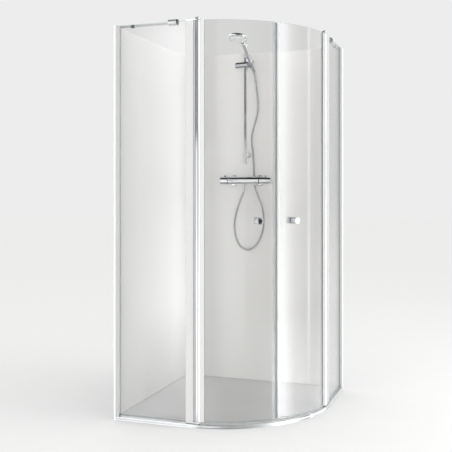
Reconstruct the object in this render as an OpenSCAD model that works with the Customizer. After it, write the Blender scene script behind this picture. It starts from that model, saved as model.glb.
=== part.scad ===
// Quarter-round corner shower cabin with two curved glass doors, a bar mixer and a riser rail.
// X runs right along the back wall, Y runs back, Z up. Origin: middle of the footprint, on the floor.

/* [Cabin] */
// Side of the square footprint, glass face to glass face
side = 900; // [860:10:1000]
// Top edge of the glass above the floor
glass_top = 1850; // [1820:5:2000]
// Outer radius of the curved doors
corner_r = 550; // [500:10:560]
// Thickness of every glass pane
glass_t = 6; // [5:0.5:8]
// Thickness of the wall panels
panel_t = 8; // [6:1:10]
// Depth of the battens behind the wall panels
batten_t = 7; // [5:1:12]
// Width of the wall profiles
prof_w = 17; // [15:1:26]

/* [Floor] */
// Thickness of the floor pan
pan_t = 12; // [11:0.5:13]
// Height of the threshold rail
rail_h = 16; // [14:0.5:16]
// Radius of the hole for the waste
waste_r = 26; // [24:0.5:28]
// Waste position across
waste_x = -261; // [-300:1:-150]
// Waste position from front to back
waste_y = 95; // [0:1:200]

/* [Doors] */
// Outer radius of the hinge tubes
tube_r = 12; // [11:0.25:12.5]
// Radius of the pivot pins
pin_r = 4; // [3:0.25:5]
// Height of the knobs
knob_z = 937; // [850:1:1100]
// Radius of the knobs
knob_r = 16; // [12:0.5:20]
// Length of one knob
knob_l = 32; // [20:1:40]
// Angle of the left knob, from straight ahead
knob_a = 35.2; // [30:0.2:38]

/* [Mixer] */
// Height of the mixer's axis
mix_z = 1133; // [1050:1:1200]
// Middle between the two inlets
mix_x = -82; // [-90:1:-74]
// Distance between the inlets
inlet_c = 150; // [148:1:152]
// Radius of the mixer body
mix_r = 23; // [22:0.5:24]

/* [Riser rail] */
// Rail position across
rail_x = -70; // [-75:1:-65]
// Radius of the rail
rail_r = 10; // [9:0.5:10]
// Bottom end of the rail
rail_z0 = 1226; // [1210:1:1230]
// Top end of the rail
rail_z1 = 1893; // [1870:1:1900]
// Height of the slider at rest
slider_z = 1775; // [1770:1:1780]

/* [Hand shower] */
// Lean of the hand shower from upright
lean = 42; // [38:1:45]
// Handle length from the holder to the neck
neck = 152; // [140:1:160]
// Bend between handle and head
head_bend = 36; // [30:1:40]
// Radius of the head
head_r = 52; // [45:1:56]

/* [Stays] */
// Free end of the left stay's clamp, from the middle
clamp_l = -137; // [-170:1:-120]
// Free end of the right stay's clamp, from the middle
clamp_r = -203; // [-240:1:-137]

/* [Hidden] */
$fn = 96;
e = 0.1;
S = side / 2;
cc = S - corner_r;            // centre of the corner arc is at [cc, -cc]
wall = S - 4;                 // inner face of the wall panels
gi = S - glass_t;             // inner face of the flat panes
ri = corner_r - glass_t;      // inner radius of the curved panes
px = -39; py = 3 - gi - 3;    // left pivot axis, in the middle of the glass
post_x0 = -93; post_x1 = -57; // fixed channel beside the pivot
a_tube = 7.0; a_prof = 9.65; a_glass = 8.4; a_end = 44.0; a_seal0 = 43.2; a_seal1 = 44.94;
door_z0 = 26.5;
mix_y = wall - 60;
rail_y = wall - 60;
yaw = -12;
hose_r = 7;
// Route of the free hose, from the conical nut down behind the mixer, round its loop and up to the outlet
ROUTE = [[-28, 412, 1737], [-26, 422, 1720], [-25, 427, 1700], [-22, 430, 1665], [-16, 431, 1610], [-12, 431, 1555],
    [-17, 431, 1500], [-32, 430, 1445], [-45, 429, 1395], [-47, 428, 1345], [-41, 427, 1290], [-36, 426, 1230],
    [-34, 424, 1180], [-32, 424, 1133], [-25, 424, 1090], [-8, 424, 1045], [10, 423, 1000], [21, 422, 950],
    [24, 420, 900], [18, 417, 850], [0, 413, 800], [-24, 409, 765], [-54, 405, 748], [-86, 401, 752],
    [-112, 398, 775], [-130, 395, 815], [-137, 392, 865], [-134, 390, 915], [-124, 388, 960], [-108, 387, 1005],
    [-92, 386, 1045], [-81, 386, 1068], [-78, 386, 1084]];

// ---- helpers ----
// The right side is the left side mirrored in the cabin's diagonal
module flip() mirror([1, 1, 0]) children();
module both() { children(); flip() children(); }
// Ring sector about the corner arc's centre, angles from straight ahead
module sector(a0, a1, r0, r1, z0, z1)
    translate([cc, -cc, z0]) rotate([0, 0, a0 - 90]) rotate_extrude(angle = a1 - a0)
        translate([r0, 0]) square([r1 - r0, z1 - z0]);
// Local Z points outwards through the curved glass
module radial(a, z) translate([cc, -cc, z]) rotate([0, 0, a - 90]) rotate([0, 90, 0]) children();
module block(a, b) translate(a) cube([b[0] - a[0], b[1] - a[1], b[2] - a[2]]);
module pivot(z) translate([px, py, z]) children();
module rod_x(r, x0, x1) translate([x0, 0, 0]) rotate([0, 90, 0]) cylinder(r = r, h = x1 - x0);
module rod_y(r, y0, y1) translate([0, y0, 0]) rotate([-90, 0, 0]) cylinder(r = r, h = y1 - y0);
module at_mixer(x) translate([x, mix_y, mix_z]) children();
module at_slider() translate([rail_x, rail_y, slider_z]) rotate([0, 0, yaw]) children();
module at_holder() at_slider() translate([36, 0, 0]) rotate([lean, 0, 0]) children();
module at_head() at_holder() translate([0, 0, neck]) rotate([head_bend, 0, 0]) translate([0, 0, 48]) children();

// ---- floor ----
module pan_outline() intersection() {
    translate([-wall, -S + 11]) square([wall + S - 11, wall + S - 11]);
    union() {
        translate([-wall, -cc]) square([wall + S - 11, wall + cc]);
        translate([-wall, -S + 11]) square([wall + cc, wall + S - 11]);
        translate([cc, -cc]) circle(r = corner_r - 11);
    }
}
module shower_pan() color([0.70, 0.71, 0.70]) difference() {
    linear_extrude(pan_t) pan_outline();
    translate([waste_x, waste_y, -e]) cylinder(r = waste_r, h = pan_t + 2 * e);
    translate([waste_x, waste_y, pan_t - 2]) cylinder(r = 41, h = 2 + e);
}
module rail_section() polygon([[11, 0], [11, rail_h - 4], [9.5, rail_h - 1.5], [7, rail_h], [-7, rail_h],
    [-9, rail_h - 1.5], [-11, rail_h - 3.5], [-11, 0]]);
module threshold_rail() color([0.86, 0.87, 0.88]) {
    translate([cc, -cc, 0]) rotate([0, 0, -90]) rotate_extrude(angle = 90) translate([corner_r, 0]) rail_section();
    both() translate([cc, -S, 0]) rotate([90, 0, -90]) linear_extrude(cc + wall) rail_section();
}
module waste_flange() color([0.80, 0.81, 0.82]) translate([waste_x, waste_y, 0]) rotate_extrude()
    polygon([[waste_r - 4, 0], [waste_r - 0.5, 0], [waste_r - 0.5, pan_t - 2], [40, pan_t - 2], [40, pan_t],
        [38, pan_t + 0.6], [waste_r - 3, pan_t + 0.6], [waste_r - 4, pan_t - 0.4]]);
module waste_strainer() color([0.78, 0.79, 0.80]) translate([waste_x, waste_y, 0]) difference() {
    rotate_extrude() polygon([[0, 14], [30, 12.9], [34, 12.9], [34, 14], [30, 15.6], [0, 17]]);
    for (i = [0:7]) rotate([0, 0, i * 45]) translate([22, 0, 10]) cylinder(r = 3.2, h = 10);
    for (i = [0:3]) rotate([0, 0, i * 90 + 22.5]) translate([11, 0, 10]) cylinder(r = 3.2, h = 10);
}

// ---- walls ----
module inlet_holes() for (s = [-1, 1]) at_mixer(mix_x + s * inlet_c / 2) rod_y(12, 50, 80);
module back_wall_panel() color([0.86, 0.86, 0.85]) difference() {
    block([-wall, wall, 0], [S + 11, wall + panel_t, glass_top]);
    inlet_holes();
}
module left_wall_panel() color([0.93, 0.93, 0.93])
    block([-wall - panel_t, -S - 11, 0], [-wall, wall + panel_t, glass_top]);
module corner_trim() color([0.95, 0.95, 0.95]) translate([-wall, wall, pan_t]) difference() {
    translate([0, -8, 0]) cube([8, 8, glass_top - pan_t]);
    translate([8, -8, -e]) cylinder(r = 6.5, h = glass_top);
}
module panel_battens() color([0.75, 0.76, 0.77]) {
    w = wall + panel_t;
    for (z = [250, 1500]) {
        block([-w - batten_t, -380, z], [-w, 380, z + 40]);
        block([-380, w, z], [380, w + batten_t, z + 40]);
    }
}

// ---- fixed panels ----
module wall_profile() difference() {
    block([-wall, -S - 7, rail_h], [-wall + prof_w, -S + 13, glass_top]);
    block([-wall + 9, -S - 0.2, rail_h - e], [-wall + prof_w + e, -gi + 0.2, glass_top + e]);
}
module left_wall_profile() color([0.85, 0.86, 0.87]) wall_profile();
module right_wall_profile() color([0.85, 0.86, 0.87]) flip() wall_profile();
module wall_gaskets() color([0.13, 0.13, 0.14]) both() {
    block([-wall + prof_w, -S - 1.6, 28], [-wall + prof_w + 3, -S, glass_top - 2]);
    block([-wall + prof_w, -gi, 28], [-wall + prof_w + 3, -gi + 1.6, glass_top - 2]);
}
module fixed_glass() block([-wall + 10, -S, 22], [-67, -gi, glass_top]);
module left_fixed_glass() color([0.85, 0.92, 0.90, 0.3]) fixed_glass();
module right_fixed_glass() color([0.85, 0.92, 0.90, 0.3]) flip() fixed_glass();
module base_seals() color([0.80, 0.82, 0.82]) both() difference() {
    block([-wall + prof_w, -S - 3, rail_h], [post_x0, -gi + 3, 28]);
    block([-wall + prof_w - 1, -S, 22], [post_x0 + 1, -gi, 29]);
}
module post_channel() difference() {
    block([post_x0, -S - 7, 26], [post_x1, -S + 13, glass_top]);
    block([post_x0 - e, -S - 0.2, 25], [-66, -gi + 0.2, glass_top + e]);
}
module left_post_channel() color([0.88, 0.89, 0.88]) post_channel();
module right_post_channel() color([0.88, 0.89, 0.88]) flip() post_channel();
module post_seals() color([0.9, 0.9, 0.9]) both() block([post_x1, py - 2, 28], [px - tube_r - 0.4, py + 2, glass_top - 2]);
module arm(z0, z1) {
    block([post_x0, py - 10, z0], [px, py + 10, z1]);
    pivot(z0) cylinder(r = tube_r, h = z1 - z0);
}
module top_pivot_brackets() color([0.82, 0.83, 0.85]) both() {
    arm(glass_top, glass_top + 4);
    pivot(glass_top + 4) cylinder(r = tube_r + 0.5, h = 8);
    pivot(glass_top - 14) cylinder(r = pin_r, h = 14);
}
module bottom_pivot_blocks() color([0.12, 0.12, 0.13]) both() {
    difference() {
        arm(rail_h, 26);
        block([post_x0 - e, -S - 0.2, 21.9], [-66.8, -gi + 0.2, 27]);
    }
    pivot(26) cylinder(r = pin_r, h = 14);
}
module stay(y) translate([0, y, glass_top - 4]) children();
module stay_bars() color([0.84, 0.85, 0.86]) {
    stay(-S + 20) rod_x(4, -wall, clamp_l - 23);
    flip() stay(-S + 20) rod_x(4, -wall, clamp_r - 23);
}
module stay_collars() color([0.10, 0.10, 0.11]) both() stay(-S + 20) difference() {
    rod_x(8, -378, -362);
    rod_x(4, -379, -361);
}
module stay_clamp(x1) difference() {
    translate([0, -S + 11, glass_top - 2]) rod_x(14, x1 - 47, x1);
    block([x1 - 53, -S, glass_top - 30], [x1 + 7, -gi, glass_top]);
    stay(-S + 20) rod_x(4, x1 - 53, x1 - 23);
}
module stay_clamps() color([0.84, 0.85, 0.86]) {
    stay_clamp(clamp_l);
    flip() stay_clamp(clamp_r);
}

// ---- doors ----
module hinge_tube() pivot(door_z0) difference() {
    cylinder(r = tube_r, h = glass_top - 1 - door_z0);
    translate([0, 0, -e]) cylinder(r = tube_r - 2, h = glass_top);
}
module hinge_bushes() for (z = [door_z0, glass_top - 17]) pivot(z) difference() {
    cylinder(r = tube_r - 2, h = 16);
    translate([0, 0, -e]) cylinder(r = pin_r + 0.05, h = 17);
}
module door_profile() difference() {
    sector(a_tube, a_prof, ri - 3.5, corner_r + 3.5, door_z0, glass_top - 1);
    pivot(0) cylinder(r = tube_r, h = glass_top);
    sector(a_glass - 0.03, a_prof + 0.1, ri - 0.1, corner_r + 0.1, door_z0 - e, glass_top);
}
module door_glass() difference() {
    sector(a_glass, a_end, ri, corner_r, 24, glass_top);
    radial(knob_a, knob_z) translate([0, 0, ri - 5]) cylinder(r = 6, h = glass_t + 10);
}
module magnet_seal() difference() {
    sector(a_seal0, a_seal1, ri - 3, corner_r + 3, door_z0, glass_top - 2);
    sector(a_seal0 - 0.1, a_end, ri, corner_r, door_z0 - e, glass_top);
}
module bottom_seal() difference() {
    sector(a_prof + 0.05, a_seal0 - 0.05, ri - 2.5, corner_r + 2.5, rail_h + 2, 32);
    sector(a_prof, a_seal0, ri, corner_r, 24, 33);
}
module knob_outer() radial(knob_a, knob_z) translate([0, 0, corner_r]) {
    cylinder(r = knob_r - 4, h = 3);
    translate([0, 0, 3]) cylinder(r = knob_r, h = knob_l - 3);
}
module knob_inner() radial(knob_a, knob_z) translate([0, 0, ri - 0.2]) mirror([0, 0, 1]) difference() {
    union() {
        cylinder(r = knob_r - 4, h = 3);
        translate([0, 0, 3]) cylinder(r = knob_r, h = knob_l - 3);
    }
    translate([0, 0, -e]) cylinder(r = pin_r, h = 16);
}
module knob_stud() radial(knob_a, knob_z) {
    translate([0, 0, ri - 15]) cylinder(r = pin_r, h = 15 + glass_t);
    translate([0, 0, ri]) cylinder(r = 5.9, h = glass_t);
}
module left_hinge_tube() color([0.80, 0.81, 0.83]) hinge_tube();
module left_hinge_bushes() color([0.95, 0.95, 0.93]) hinge_bushes();
module left_door_profile() color([0.90, 0.91, 0.90]) door_profile();
module left_door_glass() color([0.85, 0.92, 0.90, 0.3]) door_glass();
module left_magnet_seal() color([0.88, 0.90, 0.92]) magnet_seal();
module left_bottom_seal() color([0.85, 0.88, 0.88]) bottom_seal();
module left_knob_outer() color([0.80, 0.81, 0.83]) knob_outer();
module left_knob_inner() color([0.80, 0.81, 0.83]) knob_inner();
module left_knob_stud() color([0.75, 0.76, 0.78]) knob_stud();
module right_hinge_tube() color([0.80, 0.81, 0.83]) flip() hinge_tube();
module right_hinge_bushes() color([0.95, 0.95, 0.93]) flip() hinge_bushes();
module right_door_profile() color([0.90, 0.91, 0.90]) flip() door_profile();
module right_door_glass() color([0.85, 0.92, 0.90, 0.3]) flip() door_glass();
module right_magnet_seal() color([0.88, 0.90, 0.92]) flip() magnet_seal();
module right_bottom_seal() color([0.85, 0.88, 0.88]) flip() bottom_seal();
module right_knob_outer() color([0.80, 0.81, 0.83]) flip() knob_outer();
module right_knob_inner() color([0.80, 0.81, 0.83]) flip() knob_inner();
module right_knob_stud() color([0.75, 0.76, 0.78]) flip() knob_stud();

// ---- mixer ----
module mixer_body() color([0.80, 0.81, 0.83]) difference() {
    union() {
        at_mixer(0) rod_x(mix_r, -174, 10);
        for (s = [-1, 1]) at_mixer(mix_x + s * inlet_c / 2) rod_y(14, 0, 29);
        at_mixer(-78) translate([0, 0, -27]) cylinder(r = 11, h = 20);
    }
    at_mixer(0) rod_x(18, -175, -108);
    at_mixer(0) rod_x(16, -34, 11);
    at_mixer(0) rod_x(8, -110, -30);
    for (s = [-1, 1]) at_mixer(mix_x + s * inlet_c / 2) rod_y(6, 0, 30);
    at_mixer(-78) translate([0, 0, -28]) cylinder(r = 6, h = 28);
}
module mixer_unions() color([0.78, 0.79, 0.81]) for (s = [-1, 1]) at_mixer(mix_x + s * inlet_c / 2) difference() {
    union() {
        rod_y(13, 29, 50);
        rod_y(10, 50, 60 + panel_t);
        rod_y(10.5, 60 + panel_t, 60 + panel_t + batten_t);
    }
    rod_y(6, 28, 60 + panel_t + batten_t + 1);
}
module mixer_escutcheons() color([0.82, 0.83, 0.85]) for (s = [-1, 1]) at_mixer(mix_x + s * inlet_c / 2) difference() {
    union() {
        rod_y(31, 57, 60);
        rod_y(28, 54, 57);
        rod_y(17, 51, 54);
    }
    rod_y(10.7, 40, 70);
}
module thermostat_cartridge() color([0.72, 0.60, 0.35]) at_mixer(0) difference() {
    rod_x(18, -173, -112);
    rod_x(5.05, -174, -140);
}
module flow_cartridge() color([0.72, 0.60, 0.35]) at_mixer(0) difference() {
    rod_x(16, -30, 9);
    rod_x(5.05, -16, 10);
}
module temperature_handle() color([0.80, 0.81, 0.83]) at_mixer(0) {
    difference() {
        union() {
            rod_x(22.5, -216, -174.5);
            rod_x(20.5, -218, -216);
        }
        translate([-192, 0, 12]) cylinder(r = 6.1, h = 20);
    }
    rod_x(5, -174.5, -146);
}
module temperature_button() color([0.35, 0.36, 0.37]) at_mixer(-192) translate([0, 0, 15]) cylinder(r = 6, h = 13.5);
module flow_handle() color([0.80, 0.81, 0.83]) at_mixer(0) {
    difference() {
        union() {
            rod_x(22.5, 10.5, 56);
            rod_x(19, 56, 74.5);
            rod_x(17.5, 74.5, 76);
        }
        translate([44, 0, 12]) cylinder(r = 6.1, h = 20);
    }
    rod_x(5, -14, 10.5);
}
module flow_button() color([0.82, 0.83, 0.85]) at_mixer(44) translate([0, 0, 15]) cylinder(r = 6, h = 13.5);
module hose_outlet_nut() color([0.80, 0.81, 0.83]) at_mixer(-78) translate([0, 0, -49]) difference() {
    cylinder(r = 12, h = 22);
    translate([0, 0, 12]) cylinder(r = 8, h = 11);
}

// ---- riser rail and hand shower ----
module riser_rail() color([0.80, 0.81, 0.83]) translate([rail_x, rail_y, rail_z0]) difference() {
    cylinder(r = rail_r, h = rail_z1 - rail_z0);
    translate([0, 0, -e]) cylinder(r = rail_r - 1.5, h = rail_z1 - rail_z0 - 4);
}
module rail_brackets() color([0.80, 0.81, 0.83]) for (z = [1275, 1828]) translate([rail_x, rail_y, z]) difference() {
    union() {
        translate([0, 0, -11]) cylinder(r = 14, h = 22);
        rod_y(8, 0, 55);
        rod_y(15, 54, 60);
    }
    translate([0, 0, -20]) cylinder(r = rail_r, h = 40);
}
module slider_body() color([0.80, 0.81, 0.83]) at_slider() difference() {
    rod_x(18, -30, 18);
    translate([0, 0, -20]) cylinder(r = rail_r + 0.05, h = 40);
    rod_x(8.05, 11.5, 19);
    rod_x(4.05, -31, -11);
}
module slider_knob() color([0.80, 0.81, 0.83]) at_slider() {
    rod_x(18, -60, -30.5);
    rod_x(16, -62, -60);
    rod_x(4, -31, -12);
}
module handset_holder() color([0.80, 0.81, 0.83]) at_holder() difference() {
    union() {
        translate([0, 0, -15]) cylinder(r = 17, h = 30);
        rod_x(8, -24.2, -12);
    }
    rotate_extrude() polygon([[0, -16], [11.0, -16], [11.0, -15], [14.0, 15], [14.0, 16], [0, 16]]);
    translate([-7.6, -20, -16]) cube([15.2, 16, 32]);
}
module hose_cone_nut() color([0.80, 0.81, 0.83]) at_holder() difference() {
    rotate_extrude() polygon([[0, -50], [9.5, -50], [11, -48.5], [12, -40], [12, -16], [10.85, -15.5], [13.85, 15], [0, 15]]);
    translate([0, 0, -e - 50]) cylinder(r = 5, h = 60);
}
module handset_body() color([0.80, 0.81, 0.83]) {
    difference() {
        at_holder() rotate_extrude() polygon([[0, 15], [13.5, 15], [12.2, 40], [12.8, 90], [13.5, neck], [11, neck + 9],
            [0, neck + 13]]);
        at_head() rotate([-90, 0, 0]) translate([0, 0, -38]) cylinder(r = head_r + 1, h = 30);
    }
    at_head() rotate([-90, 0, 0]) rotate_extrude()
        polygon([[0, -8], [head_r - 1.5, -8], [head_r, -5], [head_r, 1], [head_r - 6, 7], [30, 13], [12, 15], [0, 15]]);
}
module spray_plate() color([0.90, 0.90, 0.90]) at_head() rotate([-90, 0, 0]) translate([0, 0, -11.5])
    cylinder(r = 42, h = 3.5);
module spray_selector() color([0.72, 0.75, 0.78]) at_head() rotate([-90, 0, 0]) difference() {
    union() {
        translate([0, 0, -11]) cylinder(r = head_r - 2, h = 2.7);
        translate([-head_r - 3, -7, -11]) cube([12, 14, 2.7]);
    }
    translate([0, 0, -12]) cylinder(r = 42.6, h = 5);
}

// ---- hose ----
function cr(p0, p1, p2, p3, t) = 0.5 * (2 * p1 + (p2 - p0) * t + (2 * p0 - 5 * p1 + 4 * p2 - p3) * t * t
    + (3 * p1 - p0 - 3 * p2 + p3) * t * t * t);
function pt(i) = ROUTE[max(0, min(len(ROUTE) - 1, i))];
function at(u) = let (i = min(floor(u), len(ROUTE) - 2), t = u - i) cr(pt(i - 1), pt(i), pt(i + 1), pt(i + 2), t);
function unit(v) = v / norm(v);
HOSE_N = 64;
HOSE_SIDES = 10;
HOSE = [for (k = [0:HOSE_N]) at(k * (len(ROUTE) - 1) / HOSE_N)];
function dir(k) = unit(HOSE[min(k + 1, HOSE_N)] - HOSE[max(k - 1, 0)]);
function ring(k) = let (d = dir(k), n = unit(cross(d, [0, 1, 0.02])), b = cross(d, n))
    [for (j = [0:HOSE_SIDES - 1]) HOSE[k] + hose_r * (cos(360 * j / HOSE_SIDES) * n + sin(360 * j / HOSE_SIDES) * b)];
module shower_hose() color([0.72, 0.73, 0.75]) polyhedron(
    points = [for (k = [0:HOSE_N]) each ring(k)],
    faces = concat(
        [[for (j = [0:HOSE_SIDES - 1]) HOSE_SIDES - 1 - j]],
        [for (k = [0:HOSE_N - 1], j = [0:HOSE_SIDES - 1]) let (a = k * HOSE_SIDES + j, b = k * HOSE_SIDES + (j + 1) % HOSE_SIDES)
            each [[a, b, b + HOSE_SIDES], [a, b + HOSE_SIDES, a + HOSE_SIDES]]],
        [[for (j = [0:HOSE_SIDES - 1]) HOSE_N * HOSE_SIDES + j]]));

shower_pan();
threshold_rail();
waste_flange();
waste_strainer();
back_wall_panel();
left_wall_panel();
corner_trim();
panel_battens();
left_wall_profile();
right_wall_profile();
wall_gaskets();
left_fixed_glass();
right_fixed_glass();
base_seals();
left_post_channel();
right_post_channel();
post_seals();
top_pivot_brackets();
bottom_pivot_blocks();
stay_bars();
stay_collars();
stay_clamps();
left_hinge_tube();
left_hinge_bushes();
left_door_profile();
left_door_glass();
left_magnet_seal();
left_bottom_seal();
left_knob_outer();
left_knob_inner();
left_knob_stud();
right_hinge_tube();
right_hinge_bushes();
right_door_profile();
right_door_glass();
right_magnet_seal();
right_bottom_seal();
right_knob_outer();
right_knob_inner();
right_knob_stud();
mixer_body();
mixer_unions();
mixer_escutcheons();
thermostat_cartridge();
flow_cartridge();
temperature_handle();
temperature_button();
flow_handle();
flow_button();
hose_outlet_nut();
riser_rail();
rail_brackets();
slider_body();
slider_knob();
handset_holder();
hose_cone_nut();
handset_body();
spray_plate();
spray_selector();
shower_hose();
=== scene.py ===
import math

import bmesh
import bpy
import numpy as np
from mathutils import Matrix, Vector


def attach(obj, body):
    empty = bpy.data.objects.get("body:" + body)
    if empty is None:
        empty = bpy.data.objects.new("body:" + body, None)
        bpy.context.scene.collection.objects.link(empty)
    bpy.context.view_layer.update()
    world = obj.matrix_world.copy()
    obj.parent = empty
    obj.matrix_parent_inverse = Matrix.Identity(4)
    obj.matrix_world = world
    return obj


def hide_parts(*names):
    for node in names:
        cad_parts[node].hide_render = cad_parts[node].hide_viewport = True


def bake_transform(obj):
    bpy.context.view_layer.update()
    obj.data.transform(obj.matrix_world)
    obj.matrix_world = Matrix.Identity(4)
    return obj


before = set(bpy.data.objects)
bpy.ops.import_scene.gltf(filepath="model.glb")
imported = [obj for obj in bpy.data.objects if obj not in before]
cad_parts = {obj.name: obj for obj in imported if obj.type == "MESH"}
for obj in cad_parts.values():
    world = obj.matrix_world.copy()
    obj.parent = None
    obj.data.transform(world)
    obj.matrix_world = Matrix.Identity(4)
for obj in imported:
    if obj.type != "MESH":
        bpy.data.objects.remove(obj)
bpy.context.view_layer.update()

scene = bpy.context.scene
rad = math.radians

# ---------------------------------------------------------------- sizes, in metres, as in the construction
S = 0.450                      # outer face of the glass from the middle
WALL = 0.446                   # inner face of the walls
RO, RI = 0.550, 0.544          # curved glass, outer and inner
CX, CY = -0.100, 0.100         # centre of the corner arc
TOP = 1.850
PX, PY = -0.039, -0.444        # left pivot
KA, KZ = 35.2, 0.937           # knob
MY, MZ = 0.386, 1.133          # mixer axis
RX, RY = -0.070, 0.386         # riser rail


# ---------------------------------------------------------------- camera
cam = bpy.data.cameras.new("camera")
cam_o = bpy.data.objects.new("camera", cam)
scene.collection.objects.link(cam_o)
cam_o.location = (1.2268, -3.7441, 1.0678)
cam_o.rotation_euler = (rad(90), 0, rad(18.9))
cam.sensor_width = 36
cam.lens = 61.97
cam.shift_y = -0.0746
cam.clip_end = 60
scene.camera = cam_o
scene.view_settings.view_transform = "Standard"
scene.cycles.transparent_max_bounces = 32


# ---------------------------------------------------------------- mesh helpers: a shape is (verts, faces)
def T(x, y, z):
    return Matrix.Translation((x, y, z))


def R(axis, deg):
    return Matrix.Rotation(rad(deg), 4, axis)


def at(M, shape):
    v, f = shape
    return [tuple(M @ Vector(p)) for p in v], f


def flip(shape):
    """Left side to right side: the cabin is the same on both sides of its diagonal."""
    v, f = shape
    return [(-y, -x, z) for x, y, z in v], [tuple(reversed(p)) for p in f]


def join(*shapes):
    v, f = [], []
    for a, b in shapes:
        n = len(v)
        v += list(a)
        f += [tuple(i + n for i in p) for p in b]
    return v, f


def box(a, b):
    x0, y0, z0 = a
    x1, y1, z1 = b
    v = [(x0, y0, z0), (x1, y0, z0), (x1, y1, z0), (x0, y1, z0), (x0, y0, z1), (x1, y0, z1), (x1, y1, z1), (x0, y1, z1)]
    return v, [(0, 3, 2, 1), (4, 5, 6, 7), (0, 1, 5, 4), (1, 2, 6, 5), (2, 3, 7, 6), (3, 0, 4, 7)]


def rounded(points, r, seg=4, closed=True):
    """The polygon with its corners rounded. r is one radius or one for each point."""
    n = len(points)
    rs = r if hasattr(r, "__len__") else [r] * n
    out = []
    for i, p in enumerate(points):
        if rs[i] <= 0 or (not closed and i in (0, n - 1)):
            out.append(tuple(p))
            continue
        p = Vector(p)
        a, b = Vector(points[i - 1]) - p, Vector(points[(i + 1) % n]) - p
        la, lb = a.length, b.length
        a, b = a / la, b / lb
        dot = max(-1, min(1, a.dot(b)))
        half = math.acos(dot) / 2
        if half > rad(88):
            out.append(tuple(p))
            continue
        d = min(rs[i] / math.tan(half), la * 0.49, lb * 0.49)
        rr = d * math.tan(half)
        c = p + (a + b).normalized() * (rr / math.sin(half))
        s, e = p + a * d - c, p + b * d - c
        turn = math.atan2(s.x * e.y - s.y * e.x, s.dot(e))
        for k in range(seg + 1):
            t = turn * k / seg
            out.append((c.x + s.x * math.cos(t) - s.y * math.sin(t), c.y + s.x * math.sin(t) + s.y * math.cos(t)))
    return out


def lathe(profile, n=64, closed=False, wave=None):
    """profile is (radius, height) points. wave(angle, radius, height) may change the radius."""
    v, f, rows = [], [], []
    for r, h in profile:
        if r < 1e-7:
            rows.append([len(v)])
            v.append((0, 0, h))
        else:
            rows.append(list(range(len(v), len(v) + n)))
            for j in range(n):
                t = 2 * math.pi * j / n
                q = wave(t, r, h) if wave else r
                v.append((q * math.cos(t), q * math.sin(t), h))
    m = len(profile)
    for i in range(m if closed else m - 1):
        a, b = rows[i], rows[(i + 1) % m]
        for j in range(n):
            k = (j + 1) % n
            if len(a) == 1 and len(b) == 1:
                continue
            if len(a) == 1:
                f.append((a[0], b[k], b[j]))
            elif len(b) == 1:
                f.append((a[j], a[k], b[0]))
            else:
                f.append((a[j], a[k], b[k], b[j]))
    return v, f


def turned(points, r=0.0006, n=64, seg=3, wave=None):
    """A solid turned from an outline that starts and ends on the axis."""
    rs = [0 if p[0] < 1e-7 else r for p in points] if not hasattr(r, "__len__") else r
    return lathe(rounded(points, rs, seg, closed=False), n, wave=wave)


def ring(points, r=0.0005, n=64, seg=3, wave=None):
    """A ring turned from a closed outline."""
    return lathe(rounded(points, r, seg), n, closed=True, wave=wave)


def prism(poly, z0, z1):
    n = len(poly)
    v = [(x, y, z0) for x, y in poly] + [(x, y, z1) for x, y in poly]
    f = [tuple(reversed(range(n))), tuple(range(n, 2 * n))]
    return v, f + [(i, (i + 1) % n, n + (i + 1) % n, n + i) for i in range(n)]


def to_bm(shape):
    bm = bmesh.new()
    vs = [bm.verts.new(p) for p in shape[0]]
    for f in shape[1]:
        if len(set(f)) > 2:
            try:
                bm.faces.new([vs[i] for i in f])
            except ValueError:
                pass
    bm.normal_update()
    return bm


def from_bm(bm):
    bm.verts.index_update()
    out = [tuple(x.co) for x in bm.verts], [tuple(x.index for x in p.verts) for p in bm.faces]
    bm.free()
    return out


def soften(shape, width, seg=2, angle=32, keep=None):
    """Rounds every edge sharper than angle. keep(edge) may leave some out."""
    bm = to_bm(shape)
    bmesh.ops.remove_doubles(bm, verts=bm.verts, dist=1e-6)
    bmesh.ops.recalc_face_normals(bm, faces=bm.faces)
    edges = [e for e in bm.edges if len(e.link_faces) == 2 and e.calc_face_angle(0) > rad(angle) and (keep is None or keep(e))]
    if edges:
        bmesh.ops.bevel(bm, geom=edges, offset=width, offset_type="OFFSET", segments=seg, profile=0.5, affect="EDGES", clamp_overlap=True)
    return from_bm(bm)


def cad(node, dissolve=0.6):
    """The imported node's own surface, welded, with its flat faces made whole."""
    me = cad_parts[node].data
    shape = [tuple(v.co) for v in me.vertices], [tuple(p.vertices) for p in me.polygons]
    bm = to_bm(shape)
    bmesh.ops.remove_doubles(bm, verts=bm.verts, dist=2e-6)
    bmesh.ops.dissolve_limit(bm, angle_limit=rad(dissolve), verts=bm.verts, edges=bm.edges)
    return from_bm(bm)


def temp(shape, name="temp"):
    me = bpy.data.meshes.new(name)
    me.from_pydata(shape[0], [], shape[1])
    me.validate()
    bm = bmesh.new()
    bm.from_mesh(me)
    bmesh.ops.recalc_face_normals(bm, faces=bm.faces)
    bm.to_mesh(me)
    bm.free()
    o = bpy.data.objects.new(name, me)
    scene.collection.objects.link(o)
    return o


def applied(o, *rest):
    """The object's mesh with its modifiers, as a shape. The object and the rest are removed."""
    bpy.context.view_layer.update()
    me = bpy.data.meshes.new_from_object(o.evaluated_get(bpy.context.evaluated_depsgraph_get()))
    out = [tuple(v.co) for v in me.vertices], [tuple(p.vertices) for p in me.polygons]
    bpy.data.meshes.remove(me)
    for x in (o, *rest):
        m = x.data
        bpy.data.objects.remove(x)
        bpy.data.meshes.remove(m)
    return out


def cut(shape, *tools, operation="DIFFERENCE"):
    o = temp(shape)
    rest = []
    for t in tools:
        c = temp(t, "tool")
        c.hide_render = True
        m = o.modifiers.new("cut", "BOOLEAN")
        m.operation, m.solver, m.object = operation, "EXACT", c
        rest.append(c)
    return applied(o, *rest)


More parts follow.
